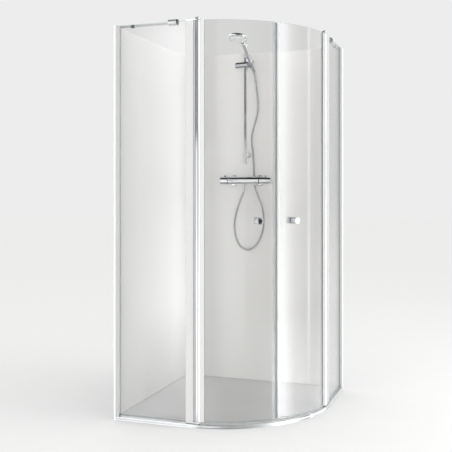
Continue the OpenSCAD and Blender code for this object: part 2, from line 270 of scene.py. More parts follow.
def catmull(points, steps=24):
    p = [Vector(x) for x in points]
    out = []
    for i in range(len(p) - 1):
        a, b, c, d = p[max(i - 1, 0)], p[i], p[i + 1], p[min(i + 2, len(p) - 1)]
        for k in range(steps):
            t = k / steps
            out.append(0.5 * (2 * b + (c - a) * t + (2 * a - 5 * b + 4 * c - d) * t * t + (3 * b - a - 3 * c + d) * t ** 3))
    return out + [p[-1]]


def along(line, distances):
    """Points at these distances along a line, as an array."""
    p = np.array([list(x) for x in line])
    s = np.r_[0, np.cumsum(np.linalg.norm(np.diff(p, axis=0), axis=1))]
    return np.stack([np.interp(distances, s, p[:, k]) for k in range(3)], 1)


def length_of(line):
    p = np.array([list(x) for x in line])
    return float(np.linalg.norm(np.diff(p, axis=0), axis=1).sum())


def tube(centres, radii, sides=16, spin=0.0):
    """A closed tube: one ring of its own radius at each centre, carried along without twist."""
    c = np.asarray(centres, float)
    d = np.gradient(c, axis=0)
    d /= np.linalg.norm(d, axis=1)[:, None]
    u = np.cross(d[0], (0.0, 1.0, 0.03))
    u /= np.linalg.norm(u)
    v, f = [], []
    t = np.arange(sides) * 2 * math.pi / sides
    for i in range(len(c)):
        u = u - d[i] * (u @ d[i])
        u /= np.linalg.norm(u)
        w = np.cross(d[i], u)
        s = t + spin * i
        v += [tuple(x) for x in c[i] + radii[i] * (np.cos(s)[:, None] * u + np.sin(s)[:, None] * w)]
        if i:
            a, b = (i - 1) * sides, i * sides
            f += [(a + j, a + (j + 1) % sides, b + (j + 1) % sides, b + j) for j in range(sides)]
    n = (len(c) - 1) * sides
    return v, f + [tuple(reversed(range(sides))), tuple(range(n, n + sides))]


def sector_shape(a0, a1, r0, r1, z0, z1, n=48):
    """A ring sector about the corner's centre, angles in degrees from straight ahead."""
    v, f = [], []
    for i in range(n + 1):
        a = rad(a0 + (a1 - a0) * i / n)
        for r, z in ((r0, z0), (r1, z0), (r1, z1), (r0, z1)):
            v.append((CX + r * math.sin(a), CY - r * math.cos(a), z))
    for i in range(n):
        for j in range(4):
            k = (j + 1) % 4
            f.append((4 * i + j, 4 * i + k, 4 * i + 4 + k, 4 * i + 4 + j))
    return v, f + [(0, 1, 2, 3), (4 * n + 3, 4 * n + 2, 4 * n + 1, 4 * n)]


def sector_section(a0, a1, section, n=48):
    """A section of (radius, height) points swept about the corner's centre."""
    m = len(section)
    v, f = [], []
    for i in range(n + 1):
        a = rad(a0 + (a1 - a0) * i / n)
        v += [(CX + r * math.sin(a), CY - r * math.cos(a), z) for r, z in section]
    for i in range(n):
        for j in range(m):
            k = (j + 1) % m
            f.append((m * i + j, m * i + k, m * i + m + k, m * i + m + j))
    return v, f + [tuple(range(m)), tuple(m * n + j for j in reversed(range(m)))]


def radial(a, z):
    """Local Z points outwards through the curved glass."""
    return T(CX, CY, z) @ R("Z", a - 90) @ R("Y", 90)


def rod_x(x, y, z):
    """Local Z runs along X."""
    return T(x, y, z) @ R("Y", 90)


def rod_y(x, y, z):
    """Local Z runs along Y."""
    return T(x, y, z) @ R("X", -90)


def hexagon(r):
    return [(r * math.cos(rad(60 * i)), r * math.sin(rad(60 * i))) for i in range(6)]


# ---------------------------------------------------------------- materials
def nodes_of(name):
    m = bpy.data.materials.new(name)
    m.use_nodes = True
    t = m.node_tree
    t.nodes.clear()
    out = t.nodes.new("ShaderNodeOutputMaterial")
    return m, t, out


def noise(t, scale, stretch=(1, 1, 1), detail=3.0, rough=0.5, coords=None):
    """A noise texture in the piece's own frame, so that it stays on the piece when it moves."""
    c = coords or t.nodes.new("ShaderNodeTexCoord")
    m = t.nodes.new("ShaderNodeMapping")
    m.inputs["Scale"].default_value = stretch
    t.links.new(c.outputs["Object"], m.inputs["Vector"])
    n = t.nodes.new("ShaderNodeTexNoise")
    n.inputs["Scale"].default_value = scale
    n.inputs["Detail"].default_value = detail
    n.inputs["Roughness"].default_value = rough
    t.links.new(m.outputs["Vector"], n.inputs["Vector"])
    return n.outputs["Fac"]


def ranged(t, fac, lo, hi, a=0.3, b=0.7):
    m = t.nodes.new("ShaderNodeMapRange")
    m.inputs["From Min"].default_value = a
    m.inputs["From Max"].default_value = b
    m.inputs["To Min"].default_value = lo
    m.inputs["To Max"].default_value = hi
    t.links.new(fac, m.inputs["Value"])
    return m.outputs["Result"]


def two_tone(t, fac, c0, c1):
    m = t.nodes.new("ShaderNodeMix")
    m.data_type = "RGBA"
    m.inputs["A"].default_value = (*c0, 1)
    m.inputs["B"].default_value = (*c1, 1)
    for s in m.inputs:
        if s.name == "A" and s.type == "RGBA":
            s.default_value = (*c0, 1)
        if s.name == "B" and s.type == "RGBA":
            s.default_value = (*c1, 1)
    t.links.new(fac, m.inputs["Factor"])
    return [s for s in m.outputs if s.type == "RGBA"][0]


def bumped(t, fac, strength, distance):
    b = t.nodes.new("ShaderNodeBump")
    b.inputs["Strength"].default_value = strength
    b.inputs["Distance"].default_value = distance
    t.links.new(fac, b.inputs["Height"])
    return b.outputs["Normal"]


def surface(name, c0, c1, rough, metallic=0.0, grain=60, stretch=(1, 1, 1), bump=None, coat=0.0, coat_rough=0.05,
            tone_scale=8, ior=1.5, specular=0.5, subsurface=0.0):
    """A Principled finish: two tones in soft clouds, roughness in finer ones, and a bump of (scale, strength, distance, stretch)."""
    m, t, out = nodes_of(name)
    p = t.nodes.new("ShaderNodeBsdfPrincipled")
    t.links.new(p.outputs["BSDF"], out.inputs["Surface"])
    c = t.nodes.new("ShaderNodeTexCoord")
    tone = ranged(t, noise(t, tone_scale, stretch, coords=c), 0, 1)
    t.links.new(two_tone(t, tone, c0, c1), p.inputs["Base Color"])
    t.links.new(ranged(t, noise(t, grain, stretch, detail=5, coords=c), *rough), p.inputs["Roughness"])
    if bump:
        scale, strength, distance, st = bump
        t.links.new(bumped(t, noise(t, scale, st, detail=4, coords=c), strength, distance), p.inputs["Normal"])
    p.inputs["Metallic"].default_value = metallic
    p.inputs["IOR"].default_value = ior
    p.inputs["Specular IOR Level"].default_value = specular
    p.inputs["Coat Weight"].default_value = coat
    p.inputs["Coat Roughness"].default_value = coat_rough
    if subsurface:
        p.inputs["Subsurface Weight"].default_value = subsurface
        p.inputs["Subsurface Scale"].default_value = 0.002
    return m


def clear(name, tint, base=0.04, wave=(3.0, 0.02, 0.002), haze=0.0, haze_tint=(0.8, 0.82, 0.82), rough=0.0):
    """See-through sheet: what it mirrors rises towards grazing, and the rest passes with a tint. haze is the share that scatters."""
    m, t, out = nodes_of(name)
    lw = t.nodes.new("ShaderNodeLayerWeight")
    lw.inputs["Blend"].default_value = 0.5
    power = t.nodes.new("ShaderNodeMath")
    power.operation = "POWER"
    power.inputs[1].default_value = 5.0
    t.links.new(lw.outputs["Facing"], power.inputs[0])
    share = ranged(t, power.outputs["Value"], base, 1.0, 0.0, 1.0)
    through = t.nodes.new("ShaderNodeBsdfTransparent")
    through.inputs["Color"].default_value = (*tint, 1)
    mirror = t.nodes.new("ShaderNodeBsdfGlossy")
    mirror.inputs["Color"].default_value = (1, 1, 1, 1)
    mirror.inputs["Roughness"].default_value = rough
    if wave:
        normal = bumped(t, noise(t, wave[0], (1, 1, 0.25), detail=1), wave[1], wave[2])
        t.links.new(normal, mirror.inputs["Normal"])
    behind = through.outputs["BSDF"]
    if haze:
        d = t.nodes.new("ShaderNodeBsdfDiffuse")
        tl = t.nodes.new("ShaderNodeBsdfTranslucent")
        c = two_tone(t, ranged(t, noise(t, 30, (1, 1, 0.1)), 0, 1), haze_tint, tuple(min(1, x * 1.06) for x in haze_tint))
        t.links.new(c, d.inputs["Color"])
        t.links.new(c, tl.inputs["Color"])
        h = t.nodes.new("ShaderNodeMixShader")
        h.inputs["Fac"].default_value = 0.45
        t.links.new(d.outputs["BSDF"], h.inputs[1])
        t.links.new(tl.outputs["BSDF"], h.inputs[2])
        g = t.nodes.new("ShaderNodeMixShader")
        g.inputs["Fac"].default_value = haze
        t.links.new(behind, g.inputs[1])
        t.links.new(h.outputs["Shader"], g.inputs[2])
        behind = g.outputs["Shader"]
    mix = t.nodes.new("ShaderNodeMixShader")
    t.links.new(share, mix.inputs["Fac"])
    t.links.new(behind, mix.inputs[1])
    t.links.new(mirror.outputs["BSDF"], mix.inputs[2])
    t.links.new(mix.outputs["Shader"], out.inputs["Surface"])
    return m


M_CHROME = surface("chrome", (0.80, 0.81, 0.83), (0.84, 0.85, 0.87), (0.03, 0.075), metallic=1, grain=35, tone_scale=6)
M_CHROME_BRIGHT = surface("chrome_bright", (0.90, 0.91, 0.92), (0.93, 0.935, 0.945), (0.05, 0.10), metallic=1, grain=35, tone_scale=6)
M_HANDLE = surface("chrome_handle", (0.80, 0.81, 0.82), (0.86, 0.87, 0.88), (0.08, 0.14), metallic=0.82, grain=35, tone_scale=6)
M_CHROME_GRIP = surface("chrome_grip", (0.74, 0.75, 0.78), (0.80, 0.81, 0.84), (0.07, 0.14), metallic=1, grain=90)
M_STEEL = surface("steel", (0.62, 0.62, 0.62), (0.70, 0.70, 0.69), (0.22, 0.38), metallic=1, grain=120, bump=(900, 0.12, 0.0002, (1, 1, 1)))
M_ALU = surface("aluminium", (0.80, 0.81, 0.82), (0.86, 0.87, 0.88), (0.16, 0.30), metallic=1, grain=220, stretch=(1, 1, 0.012),
                bump=(700, 0.10, 0.0002, (1, 1, 0.008)))
M_ALU_POLISHED = surface("aluminium_polished", (0.74, 0.75, 0.76), (0.80, 0.81, 0.82), (0.09, 0.17), metallic=1, grain=60,
                         bump=(500, 0.05, 0.0002, (1, 1, 0.05)))
M_LIGHT = surface("profile_light", (0.505, 0.505, 0.502), (0.535, 0.535, 0.532), (0.42, 0.52), grain=180, stretch=(1, 1, 0.02), specular=0.3)
# Painted light: a lighter copy of the strip finish, put on shaded faces of the right door strip
M_STRIP_PAINTED_LIGHT = surface("profile_painted_light", (0.80, 0.80, 0.795), (0.84, 0.84, 0.835), (0.42, 0.52), grain=180, stretch=(1, 1, 0.02), specular=0.3)
M_PROFILE = surface("profile_satin", (0.44, 0.445, 0.45), (0.475, 0.48, 0.485), (0.34, 0.42), metallic=0.15, grain=180, stretch=(1, 1, 0.02))
M_BRACKET = surface("bracket_satin", (0.70, 0.705, 0.71), (0.75, 0.755, 0.76), (0.26, 0.36), metallic=0.35, grain=180)
M_HOSE = surface("hose_metal", (0.78, 0.79, 0.80), (0.85, 0.86, 0.87), (0.12, 0.20), metallic=0.84, grain=150)
# Painted shade: the dark colour in the hose's grooves stands in for the shade between the turns of the strip
M_GROOVE_SHADE = surface("hose_groove_painted_shade", (0.16, 0.16, 0.17), (0.22, 0.22, 0.23), (0.35, 0.50), metallic=0.6, grain=150)
M_SLEEVE = surface("hose_sleeve", (0.50, 0.51, 0.53), (0.58, 0.59, 0.61), (0.30, 0.42), metallic=0.4, grain=150, coat=0.3)
M_SATIN = surface("satin_metal", (0.78, 0.785, 0.79), (0.84, 0.845, 0.85), (0.34, 0.46), metallic=0.85, grain=260, bump=(800, 0.08, 0.0002, (1, 1, 1)))
M_LIP = surface("grey_lip", (0.42, 0.42, 0.43), (0.47, 0.47, 0.48), (0.40, 0.52), grain=160, bump=(700, 0.10, 0.0003, (1, 1, 1)))
# Painted shade: the left wall's copy of the wall finish is a touch darker than the back wall's, offsetting the side
# light that falls on it
M_WALL_L_SHADED = surface("wall_white", (0.765, 0.765, 0.764), (0.795, 0.795, 0.794), (0.34, 0.44), grain=25, tone_scale=2.5, specular=0.3,
                   bump=(180, 0.02, 0.0003, (1, 1, 1)))
M_WALL_B = surface("wall_grey", (0.775, 0.772, 0.766), (0.805, 0.802, 0.796), (0.34, 0.44), grain=25, tone_scale=2.5, specular=0.3,
                   bump=(180, 0.02, 0.0003, (1, 1, 1)))
M_PAN = surface("pan", (0.68, 0.695, 0.69), (0.71, 0.725, 0.72), (0.30, 0.36), grain=90, tone_scale=2.2, bump=(520, 0.08, 0.0003, (1, 1, 1)))
M_SILICONE = surface("silicone", (0.70, 0.70, 0.69), (0.74, 0.74, 0.73), (0.36, 0.48), grain=50)
M_BEAD = surface("silicone_grey", (0.50, 0.50, 0.495), (0.54, 0.54, 0.535), (0.36, 0.48), grain=50)
M_MAGNET = surface("magnet", (0.19, 0.19, 0.20), (0.24, 0.24, 0.25), (0.4, 0.5), grain=120)
M_BLACK = surface("black_plastic", (0.018, 0.018, 0.020), (0.030, 0.030, 0.033), (0.30, 0.45), grain=160, bump=(900, 0.10, 0.0002, (1, 1, 1)))
# Painted shade: the black of the rail bead stands in for the shade line between the pan and the rail
M_BEAD_SHADE = surface("black_rubber", (0.035, 0.035, 0.038), (0.055, 0.055, 0.058), (0.45, 0.62), grain=160, bump=(700, 0.12, 0.0003, (1, 1, 1)))
M_NYLON = surface("nylon", (0.80, 0.80, 0.77), (0.84, 0.84, 0.81), (0.35, 0.5), grain=90, subsurface=0.1)
M_BRASS = surface("brass", (0.70, 0.52, 0.26), (0.78, 0.60, 0.32), (0.20, 0.35), metallic=1, grain=90)
M_BUTTON = surface("button_grey", (0.16, 0.165, 0.17), (0.21, 0.215, 0.22), (0.20, 0.32), grain=120, metallic=0.4, coat=0.3)
M_SPRAY = surface("spray_white", (0.90, 0.905, 0.91), (0.93, 0.935, 0.94), (0.22, 0.34), grain=70, coat=0.2, bump=(500, 0.05, 0.0003, (1, 1, 1)))
M_NOZZLE = surface("nozzle_grey", (0.36, 0.38, 0.40), (0.44, 0.46, 0.48), (0.45, 0.6), grain=90)
M_SELECT = surface("selector_grey", (0.68, 0.71, 0.74), (0.73, 0.76, 0.79), (0.20, 0.32), grain=60, metallic=0.3, coat=0.2)
M_BACKING = surface("batten", (0.55, 0.555, 0.56), (0.62, 0.625, 0.63), (0.30, 0.42), metallic=0.8, grain=120, stretch=(0.03, 0.03, 1))
M_GLASS = clear("glass", (0.900, 0.899, 0.896), wave=None)
M_GLASS_EDGE = clear("glass_edge", (0.50, 0.66, 0.62), base=0.08, haze=0.35, haze_tint=(0.55, 0.70, 0.66), wave=None, rough=0.12)
M_SEAL = clear("clear_seal", (0.95, 0.95, 0.955), base=0.03, haze=0.03, haze_tint=(0.88, 0.88, 0.90), wave=(40, 0.05, 0.0005), rough=0.12)
M_BACK = surface("panel_back", (0.44, 0.445, 0.45), (0.48, 0.485, 0.49), (0.5, 0.6), grain=70, tone_scale=4, bump=(260, 0.06, 0.0003, (1, 1, 1)))
M_GASKET = surface("gasket_grey", (0.50, 0.50, 0.51), (0.55, 0.55, 0.56), (0.40, 0.52), grain=160, bump=(700, 0.10, 0.0003, (1, 1, 1)))


# ---------------------------------------------------------------- pieces
def piece(name, parts, body, replaces=(), sharp=38, weighted=True, ride=True):
    """parts is a shape with its material, or a list of them."""
    if not isinstance(parts, list):
        parts = [parts]
    v, f, mi, mats = [], [], [], []
    for shape, mat in parts:
        if mat not in mats:
            mats.append(mat)
        n = len(v)
        v += list(shape[0])
        f += [tuple(i + n for i in p) for p in shape[1]]
        mi += [mats.index(mat)] * len(shape[1])
    me = bpy.data.meshes.new(name)
    me.from_pydata(v, [], f)
    for m in mats:
        me.materials.append(m)
    me.polygons.foreach_set("material_index", mi)
    me.validate()
    bm = bmesh.new()
    bm.from_mesh(me)
    bmesh.ops.recalc_face_normals(bm, faces=bm.faces)
    for p in bm.faces:
        p.smooth = True
    bm.to_mesh(me)
    bm.free()
    me.set_sharp_from_angle(angle=rad(sharp))
    o = bpy.data.objects.new(name, me)
    scene.collection.objects.link(o)
    if weighted:
        w = o.modifiers.new("normals", "WEIGHTED_NORMAL")
        w.keep_sharp = True
        w.weight = 60
    if ride:
        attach(o, body)
    if replaces:
        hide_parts(*replaces)
    return o


def repaint(o, mat, where):
    """Another finish on the part of a piece's first one that where(centre) picks."""
    o.data.materials.append(mat)
    for p in o.data.polygons:
        if p.material_index == 0 and where(p.center):
            p.material_index = len(o.data.materials) - 1


def paint(node, mat):
    """A CAD node that stays, with its finish."""
    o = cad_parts[node]
    o.data.materials.clear()
    o.data.materials.append(mat)


# ---------------------------------------------------------------- the hose, first, because its route is fixed with the camera
ROUTE = [(-28, 412, 1737), (-26, 422, 1720), (-25, 427, 1700), (-22, 430, 1665), (-16, 431, 1610), (-12, 431, 1555),
         (-17, 431, 1500), (-32, 430, 1445), (-45, 429, 1395), (-47, 428, 1345), (-41, 427, 1290), (-36, 426, 1230),
         (-34, 424, 1180), (-32, 424, 1133), (-25, 424, 1090), (-8, 424, 1045), (10, 423, 1000), (21, 422, 950),
         (24, 420, 900), (18, 417, 850), (0, 413, 800), (-24, 409, 765), (-54, 405, 748), (-86, 401, 752),
         (-112, 398, 775), (-130, 395, 815), (-137, 392, 865), (-134, 390, 915), (-124, 388, 960), (-108, 387, 1005),
         (-92, 386, 1045), (-81, 386, 1068), (-78, 386, 1084)]
line = catmull([(x / 1000, y / 1000, z / 1000) for x, y, z in ROUTE])
HOSE_L = length_of(line)
SLEEVE = 0.056                                   # the soft sleeve under the conical nut
PITCH = 0.0034                                   # one turn of the wound metal strip
turns = int((HOSE_L - SLEEVE + 0.004) / PITCH)
s0 = SLEEVE - 0.004
step = (HOSE_L - s0) / turns
where, radii = [], []
for i in range(turns):
    for share, r in ((0.0, 0.00615), (0.16, 0.0070), (0.62, 0.0070), (0.80, 0.00615)):
        where.append(s0 + step * (i + share))
        radii.append(r)
where.append(HOSE_L)
radii.append(0.00615)
hose = piece("hose_wound", (tube(along(line, where), radii, 14), M_HOSE), None, ["shower_hose"], sharp=80,
             weighted=False, ride=False)
# The bottom of the groove between two turns of the strip is duller, and its dark colour is painted shade in the groove
hose.data.materials.append(M_GROOVE_SHADE)
for p in hose.data.polygons:
    if (p.index // 14) % 4 == 3:
        p.material_index = 1
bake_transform(hose)
top_line = along(line, np.linspace(0, SLEEVE + 0.002, 42))
sleeve_r = [0.0078 + 0.0005 * math.cos(i * math.pi) * (3 < i < 39) - 0.0008 * max(0, i - 36) / 5 for i in range(42)]
sleeve = piece("hose_sleeve", (tube(top_line, sleeve_r, 24), M_SLEEVE), None, (), sharp=80, weighted=False, ride=False)
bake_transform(sleeve)
hose_ferrule = piece("hose_ferrule", (at(T(-0.078, MY, 1.0675), ring(
    [(0.0072, 0), (0.0088, 0), (0.0088, 0.011), (0.0096, 0.0125), (0.0096, 0.0165), (0.0072, 0.0165)], 0.0004, 48)), M_CHROME),
    "root", ())


# ---------------------------------------------------------------- floor pan and rail
def outline_distance(px, py, dx, dy):
    """How far the pan's outline is from a point inside it, in one direction."""
    best = 10
    for n, k in (((-1, 0), WALL), ((0, 1), WALL), ((1, 0), 0.439), ((0, -1), 0.439)):
        den = n[0] * dx + n[1] * dy
        if den > 1e-9:
            best = min(best, (k - n[0] * px - n[1] * py) / den)
    qx, qy, r = px - CX, py - CY, 0.539
    b = qx * dx + qy * dy
    t = -b + math.sqrt(max(0, b * b - (qx * qx + qy * qy - r * r)))
    x, y = px + t * dx, py + t * dy
    return t if x > CX and y < CY and t < best else best


def pan_shape():
    wx, wy = -0.261, 0.095
    angles = set(2 * math.pi * i / 240 for i in range(240))
    for cx, cy in ((-WALL, WALL), (0.439, WALL), (-WALL, -0.439), (0.439, CY), (CX, -0.439)):
        angles.add(math.atan2(cy - wy, cx - wx) % (2 * math.pi))
    angles = sorted(angles)
    rows = []
    inner = [(0.026, 0.0), (0.026, 0.0100), (0.0408, 0.0100), (0.0412, 0.0105), (0.0412, 0.0109), (0.0420, 0.0113)]
    shares = [0.02, 0.06, 0.12, 0.2, 0.3, 0.42, 0.55, 0.68, 0.8, 0.9, 0.96, 0.985]
    v = []
    for a in angles:
        dx, dy = math.cos(a), math.sin(a)
        d = outline_distance(wx, wy, dx, dy)
        row = [(wx + r * dx, wy + r * dy, z) for r, z in inner]
        for s in shares:
            r = 0.042 + (d - 0.042 - 0.004) * s
            row.append((wx + r * dx, wy + r * dy, 0.0113 + 0.0006 * min(1, s * 1.3)))
        row += [(wx + (d - 0.0015) * dx, wy + (d - 0.0015) * dy, 0.0119), (wx + (d - 0.0004) * dx, wy + (d - 0.0004) * dy, 0.0115),
                (wx + d * dx, wy + d * dy, 0.0106), (wx + d * dx, wy + d * dy, 0.0)]
        rows.append(row)
        v += row
    m, n = len(rows[0]), len(rows)
    f = [(i * m + j, ((i + 1) % n) * m + j, ((i + 1) % n) * m + (j + 1) % m, i * m + (j + 1) % m) for i in range(n) for j in range(m)]
    return v, f


piece("pan_body", (pan_shape(), M_PAN), "root", ["shower_pan"], sharp=50)
SECTION = rounded([(0.011, 0), (0.011, 0.0005), (0.0094, 0.0046), (0.0091, 0.0048), (0.0091, 0.0053), (0.0100, 0.0056), (0.0100, 0.0112), (0.0083, 0.0156),
                   (0.0079, 0.016), (-0.001, 0.016), (-0.0013, 0.0153), (-0.0027, 0.0153), (-0.003, 0.016), (-0.007, 0.016),
                   (-0.009, 0.0145), (-0.011, 0.0125), (-0.011, 0)],
                  [0, 0.0003, 0.0002, 0.0001, 0.0001, 0.0002, 0.0006, 0.0005, 0.0004, 0.0002, 0.0001, 0.0001, 0.0002, 0.001, 0.0008, 0.0008, 0], 3)


def rail_path(n=72):
    """(point, outward direction) along the rail, from the left wall to the back wall."""
    out = [((-WALL, -S), (0, -1)), ((-0.25, -S), (0, -1))]
    for i in range(n + 1):
        a = rad(90 * i / n)
        out.append(((CX + RO * math.sin(a), CY - RO * math.cos(a)), (math.sin(a), -math.cos(a))))
    return out + [((S, 0.25), (1, 0)), ((S, WALL), (1, 0))]


def swept_rail(section):
    v, f, m = [], [], len(section)
    stations = rail_path()
    for (x, y), (nx, ny) in stations:
        v += [(x + nx * o, y + ny * o, z) for o, z in section]
    for i in range(len(stations) - 1):
        f += [(m * i + j, m * i + (j + 1) % m, m * i + m + (j + 1) % m, m * i + m + j) for j in range(m)]
    k = m * (len(stations) - 1)
    return v, f + [tuple(range(m)), tuple(k + j for j in reversed(range(m)))]


piece("rail_body", (swept_rail(SECTION), M_ALU_POLISHED), "root", ["threshold_rail"], sharp=40)
# A thin sealant bead between the pan and the rail, coloured black as painted shade along the rail's inner foot
piece("rail_bead", (swept_rail([(-0.0109, 0.0115), (-0.0107, 0.0129), (-0.0120, 0.0125), (-0.0136, 0.0121), (-0.0136, 0.0115)]), M_BEAD_SHADE),
      "root", (), sharp=40)


def strip(points, section):
    """A small section of (offset from the wall, height) run along straight wall lines, with the wall on the left."""
    v, f, m = [], [], len(section)
    for (x, y), (nx, ny) in points:
        v += [(x + nx * o, y + ny * o, z) for o, z in section]
    for i in range(len(points) - 1):
        f += [(m * i + j, m * i + (j + 1) % m, m * i + m + (j + 1) % m, m * i + m + j) for j in range(m)]
    k = m * (len(points) - 1)
    return v, f + [tuple(range(m)), tuple(k + j for j in reversed(range(m)))]


bead = rounded([(0, 0.0118), (0, 0.0150), (0.0032, 0.0118)], [0, 0.0006, 0.0006], 3)
piece("wall_bead", (strip([((-WALL, -0.438), (1, 0)), ((-WALL, WALL), (1, -1)), ((0.438, WALL), (0, -1))], bead), M_BEAD),
      "root", (), sharp=60)

WX, WY = -0.261, 0.095
piece("waste_flange_ring", (at(T(WX, WY, 0), ring([(0.022, 0), (0.0255, 0), (0.0255, 0.010), (0.0400, 0.010), (0.0400, 0.0120),
                                                   (0.0380, 0.0126), (0.0240, 0.0126), (0.0222, 0.0118)], 0.0004, 96)), M_CHROME),
      "root", ["waste_flange"])
piece("strainer_plate", (soften(cad("waste_strainer"), 0.0004, 2, 28), M_STEEL), "strainer", ["waste_strainer"])

# ---------------------------------------------------------------- walls
back_wall = piece("back_wall", (soften(cad("back_wall_panel"), 0.0010, 3), M_WALL_B), "root", ["back_wall_panel"])
repaint(back_wall, M_BACK, lambda c: c.y > 0.45385)
left_wall = piece("left_wall", (soften(cad("left_wall_panel"), 0.0010, 3), M_WALL_L_SHADED), "root", ["left_wall_panel"])
repaint(left_wall, M_BACK, lambda c: c.x < -0.45385)
left_wall.visible_glossy = False
piece("corner_bead", (soften(cad("corner_trim"), 0.0006, 2, 50), M_SILICONE), "root", ["corner_trim"])
screws, battens = [], []
for z in (0.250, 1.500):
    battens += [soften(box((-0.461, -0.380, z), (-0.454, 0.380, z + 0.040)), 0.0008, 2),
                soften(box((-0.380, 0.454, z), (0.380, 0.461, z + 0.040)), 0.0008, 2)]
    for k in (-0.340, -0.115, 0.115, 0.340):
        head = turned([(0, 0), (0.0046, 0), (0.0046, 0.0002), (0.0036, 0.0009), (0.0014, 0.0010), (0.0012, 0.0004), (0, 0.0004)], 0.0001, 24)
        screws += [at(T(k, 0.461, z + 0.020) @ R("X", -90), head), at(T(-0.461, k, z + 0.020) @ R("Y", -90), head)]
piece("batten_set", (join(*battens), M_BACKING), "root", ["panel_battens"])
piece("batten_screws", (join(*screws), M_STEEL), "root", (), sharp=50)


# ---------------------------------------------------------------- fixed panels
def both(shape):
    return join(shape, flip(shape))


def extruded(poly, z0, z1, width=0.0005):
    return soften(prism(poly, z0, z1), width, 2, 30)


# wall profile: a channel for the glass with a screw-cover step and two shallow lines along it
profile = [(-0.446, -0.457), (-0.4400, -0.457), (-0.4400, -0.4564), (-0.4390, -0.4564), (-0.4390, -0.457), (-0.429, -0.457), (-0.429, -0.4502),
           (-0.437, -0.4502), (-0.437, -0.4438), (-0.429, -0.4438), (-0.429, -0.437), (-0.4325, -0.437), (-0.4325, -0.4376), (-0.4335, -0.4376),
           (-0.4335, -0.437), (-0.446, -0.437)]
wall_prof = extruded(profile, 0.016, TOP, 0.0004)
caps = []
for z in (0.260, 0.940, 1.620):
    caps.append(at(T(-0.4400, -0.437, z) @ R("X", -90), turned([(0, -0.001), (0.0038, -0.001), (0.0038, 0.0004), (0.0031, 0.0012), (0, 0.0014)], 0.0003, 32)))
piece("left_wall_rail", [(wall_prof, M_PROFILE), (join(*caps), M_STEEL)], "root", ["left_wall_profile"])
piece("right_wall_rail", [(flip(wall_prof), M_PROFILE), (flip(join(*caps)), M_STEEL)], "root", ["right_wall_profile"])
gasket_out = soften(box((-0.4292, -0.4516, 0.028), (-0.426, -0.450, 1.848)), 0.0006, 2)
gasket_in = soften(box((-0.4292, -0.444, 0.028), (-0.426, -0.4424, 1.848)), 0.0006, 2)
piece("glass_gaskets", (both(join(gasket_out, gasket_in)), M_GASKET), "root", ["wall_gaskets"])


def pane(name, shape, node, body, flat):
    """A pane whose ground edges have their own finish. flat(normal, centre) says if a face is the clear surface."""
    bm = to_bm(shape)
    bm.normal_update()
    face, edge = [], []
    vs = [tuple(v.co) for v in bm.verts]
    bm.verts.index_update()
    for p in bm.faces:
        (face if flat(p.normal, p.calc_center_median()) else edge).append(tuple(v.index for v in p.verts))
    bm.free()
    me_parts = [((vs, face), M_GLASS), ((vs, edge), M_GLASS_EDGE)]
    o = piece(name, me_parts, body, [node], sharp=30)
    bm = bmesh.new()
    bm.from_mesh(o.data)
    bmesh.ops.remove_doubles(bm, verts=bm.verts, dist=1e-7)
    loose = [v for v in bm.verts if not v.link_faces]
    bmesh.ops.delete(bm, geom=loose, context="VERTS")
    bmesh.ops.recalc_face_normals(bm, faces=bm.faces)
    bm.to_mesh(o.data)
    bm.free()
    o.data.set_sharp_from_angle(angle=rad(25))
    return o


flat_pane = soften(box((-0.436, -0.450, 0.022), (-0.067, -0.444, TOP)), 0.0007, 2)
pane("left_fixed_pane", flat_pane, "left_fixed_glass", "root", lambda n, c: abs(n.y) > 0.99)
pane("right_fixed_pane", flip(flat_pane), "right_fixed_glass", "root", lambda n, c: abs(n.x) > 0.99)
seal_poly = rounded([(-0.453, 0.016), (-0.441, 0.016), (-0.441, 0.025), (-0.4438, 0.0278), (-0.444, 0.0215), (-0.450, 0.0215),
                     (-0.4502, 0.0278), (-0.453, 0.025)], 0.0003, 2)
base_seal = at(Matrix(((0, 0, 1, 0), (1, 0, 0, 0), (0, 1, 0, 0), (0, 0, 0, 1))), prism(seal_poly, -0.429, -0.093))
piece("base_seal_pair", (both(base_seal), M_SEAL), "root", ["base_seals"])

# post channel beside the pivot: a light extrusion with a step and a line, its flange towards the tube
post = [(-0.093, -0.4562), (-0.0915, -0.457), (-0.0640, -0.457), (-0.0640, -0.4563), (-0.0628, -0.4563), (-0.0628, -0.457), (-0.0585, -0.457),
        (-0.057, -0.4555), (-0.057, -0.4385), (-0.0585, -0.437), (-0.0915, -0.437), (-0.093, -0.4378), (-0.093, -0.4438),
        (-0.066, -0.4438), (-0.066, -0.4502), (-0.093, -0.4502)]
post_shape = extruded(post, 0.026, TOP, 0.0004)
piece("left_post", (post_shape, M_LIGHT), "root", ["left_post_channel"])
piece("right_post", (flip(post_shape), M_LIGHT), "root", ["right_post_channel"])
lip = rounded([(-0.0571, -0.446), (-0.0535, -0.4462), (-0.0514, -0.4448), (-0.0514, -0.4432), (-0.0535, -0.4418), (-0.0571, -0.442)], 0.0005, 3)
piece("post_lips", (both(prism(lip, 0.028, 1.848)), M_LIP), "root", ["post_seals"])


# ---------------------------------------------------------------- pivots and stays
def disc(r, z0, z1, x=PX, y=PY, rr=0.0008, n=72):
    return at(T(x, y, 0), turned([(0, z0), (r, z0), (r, z1), (0, z1)], [0, rr, rr, 0], n))


def arm_outline(y_half, x0, x1, r, n=20):
    """A strap with a round end about the pivot."""
    pts = [(x0, PY - y_half), (x0, PY + y_half)]
    a0 = math.asin(y_half / r)
    for i in range(n + 1):
        a = (math.pi - a0) - (2 * (math.pi - a0)) * i / n
        pts.append((PX + r * math.cos(a), PY + r * math.sin(a)))
    return pts


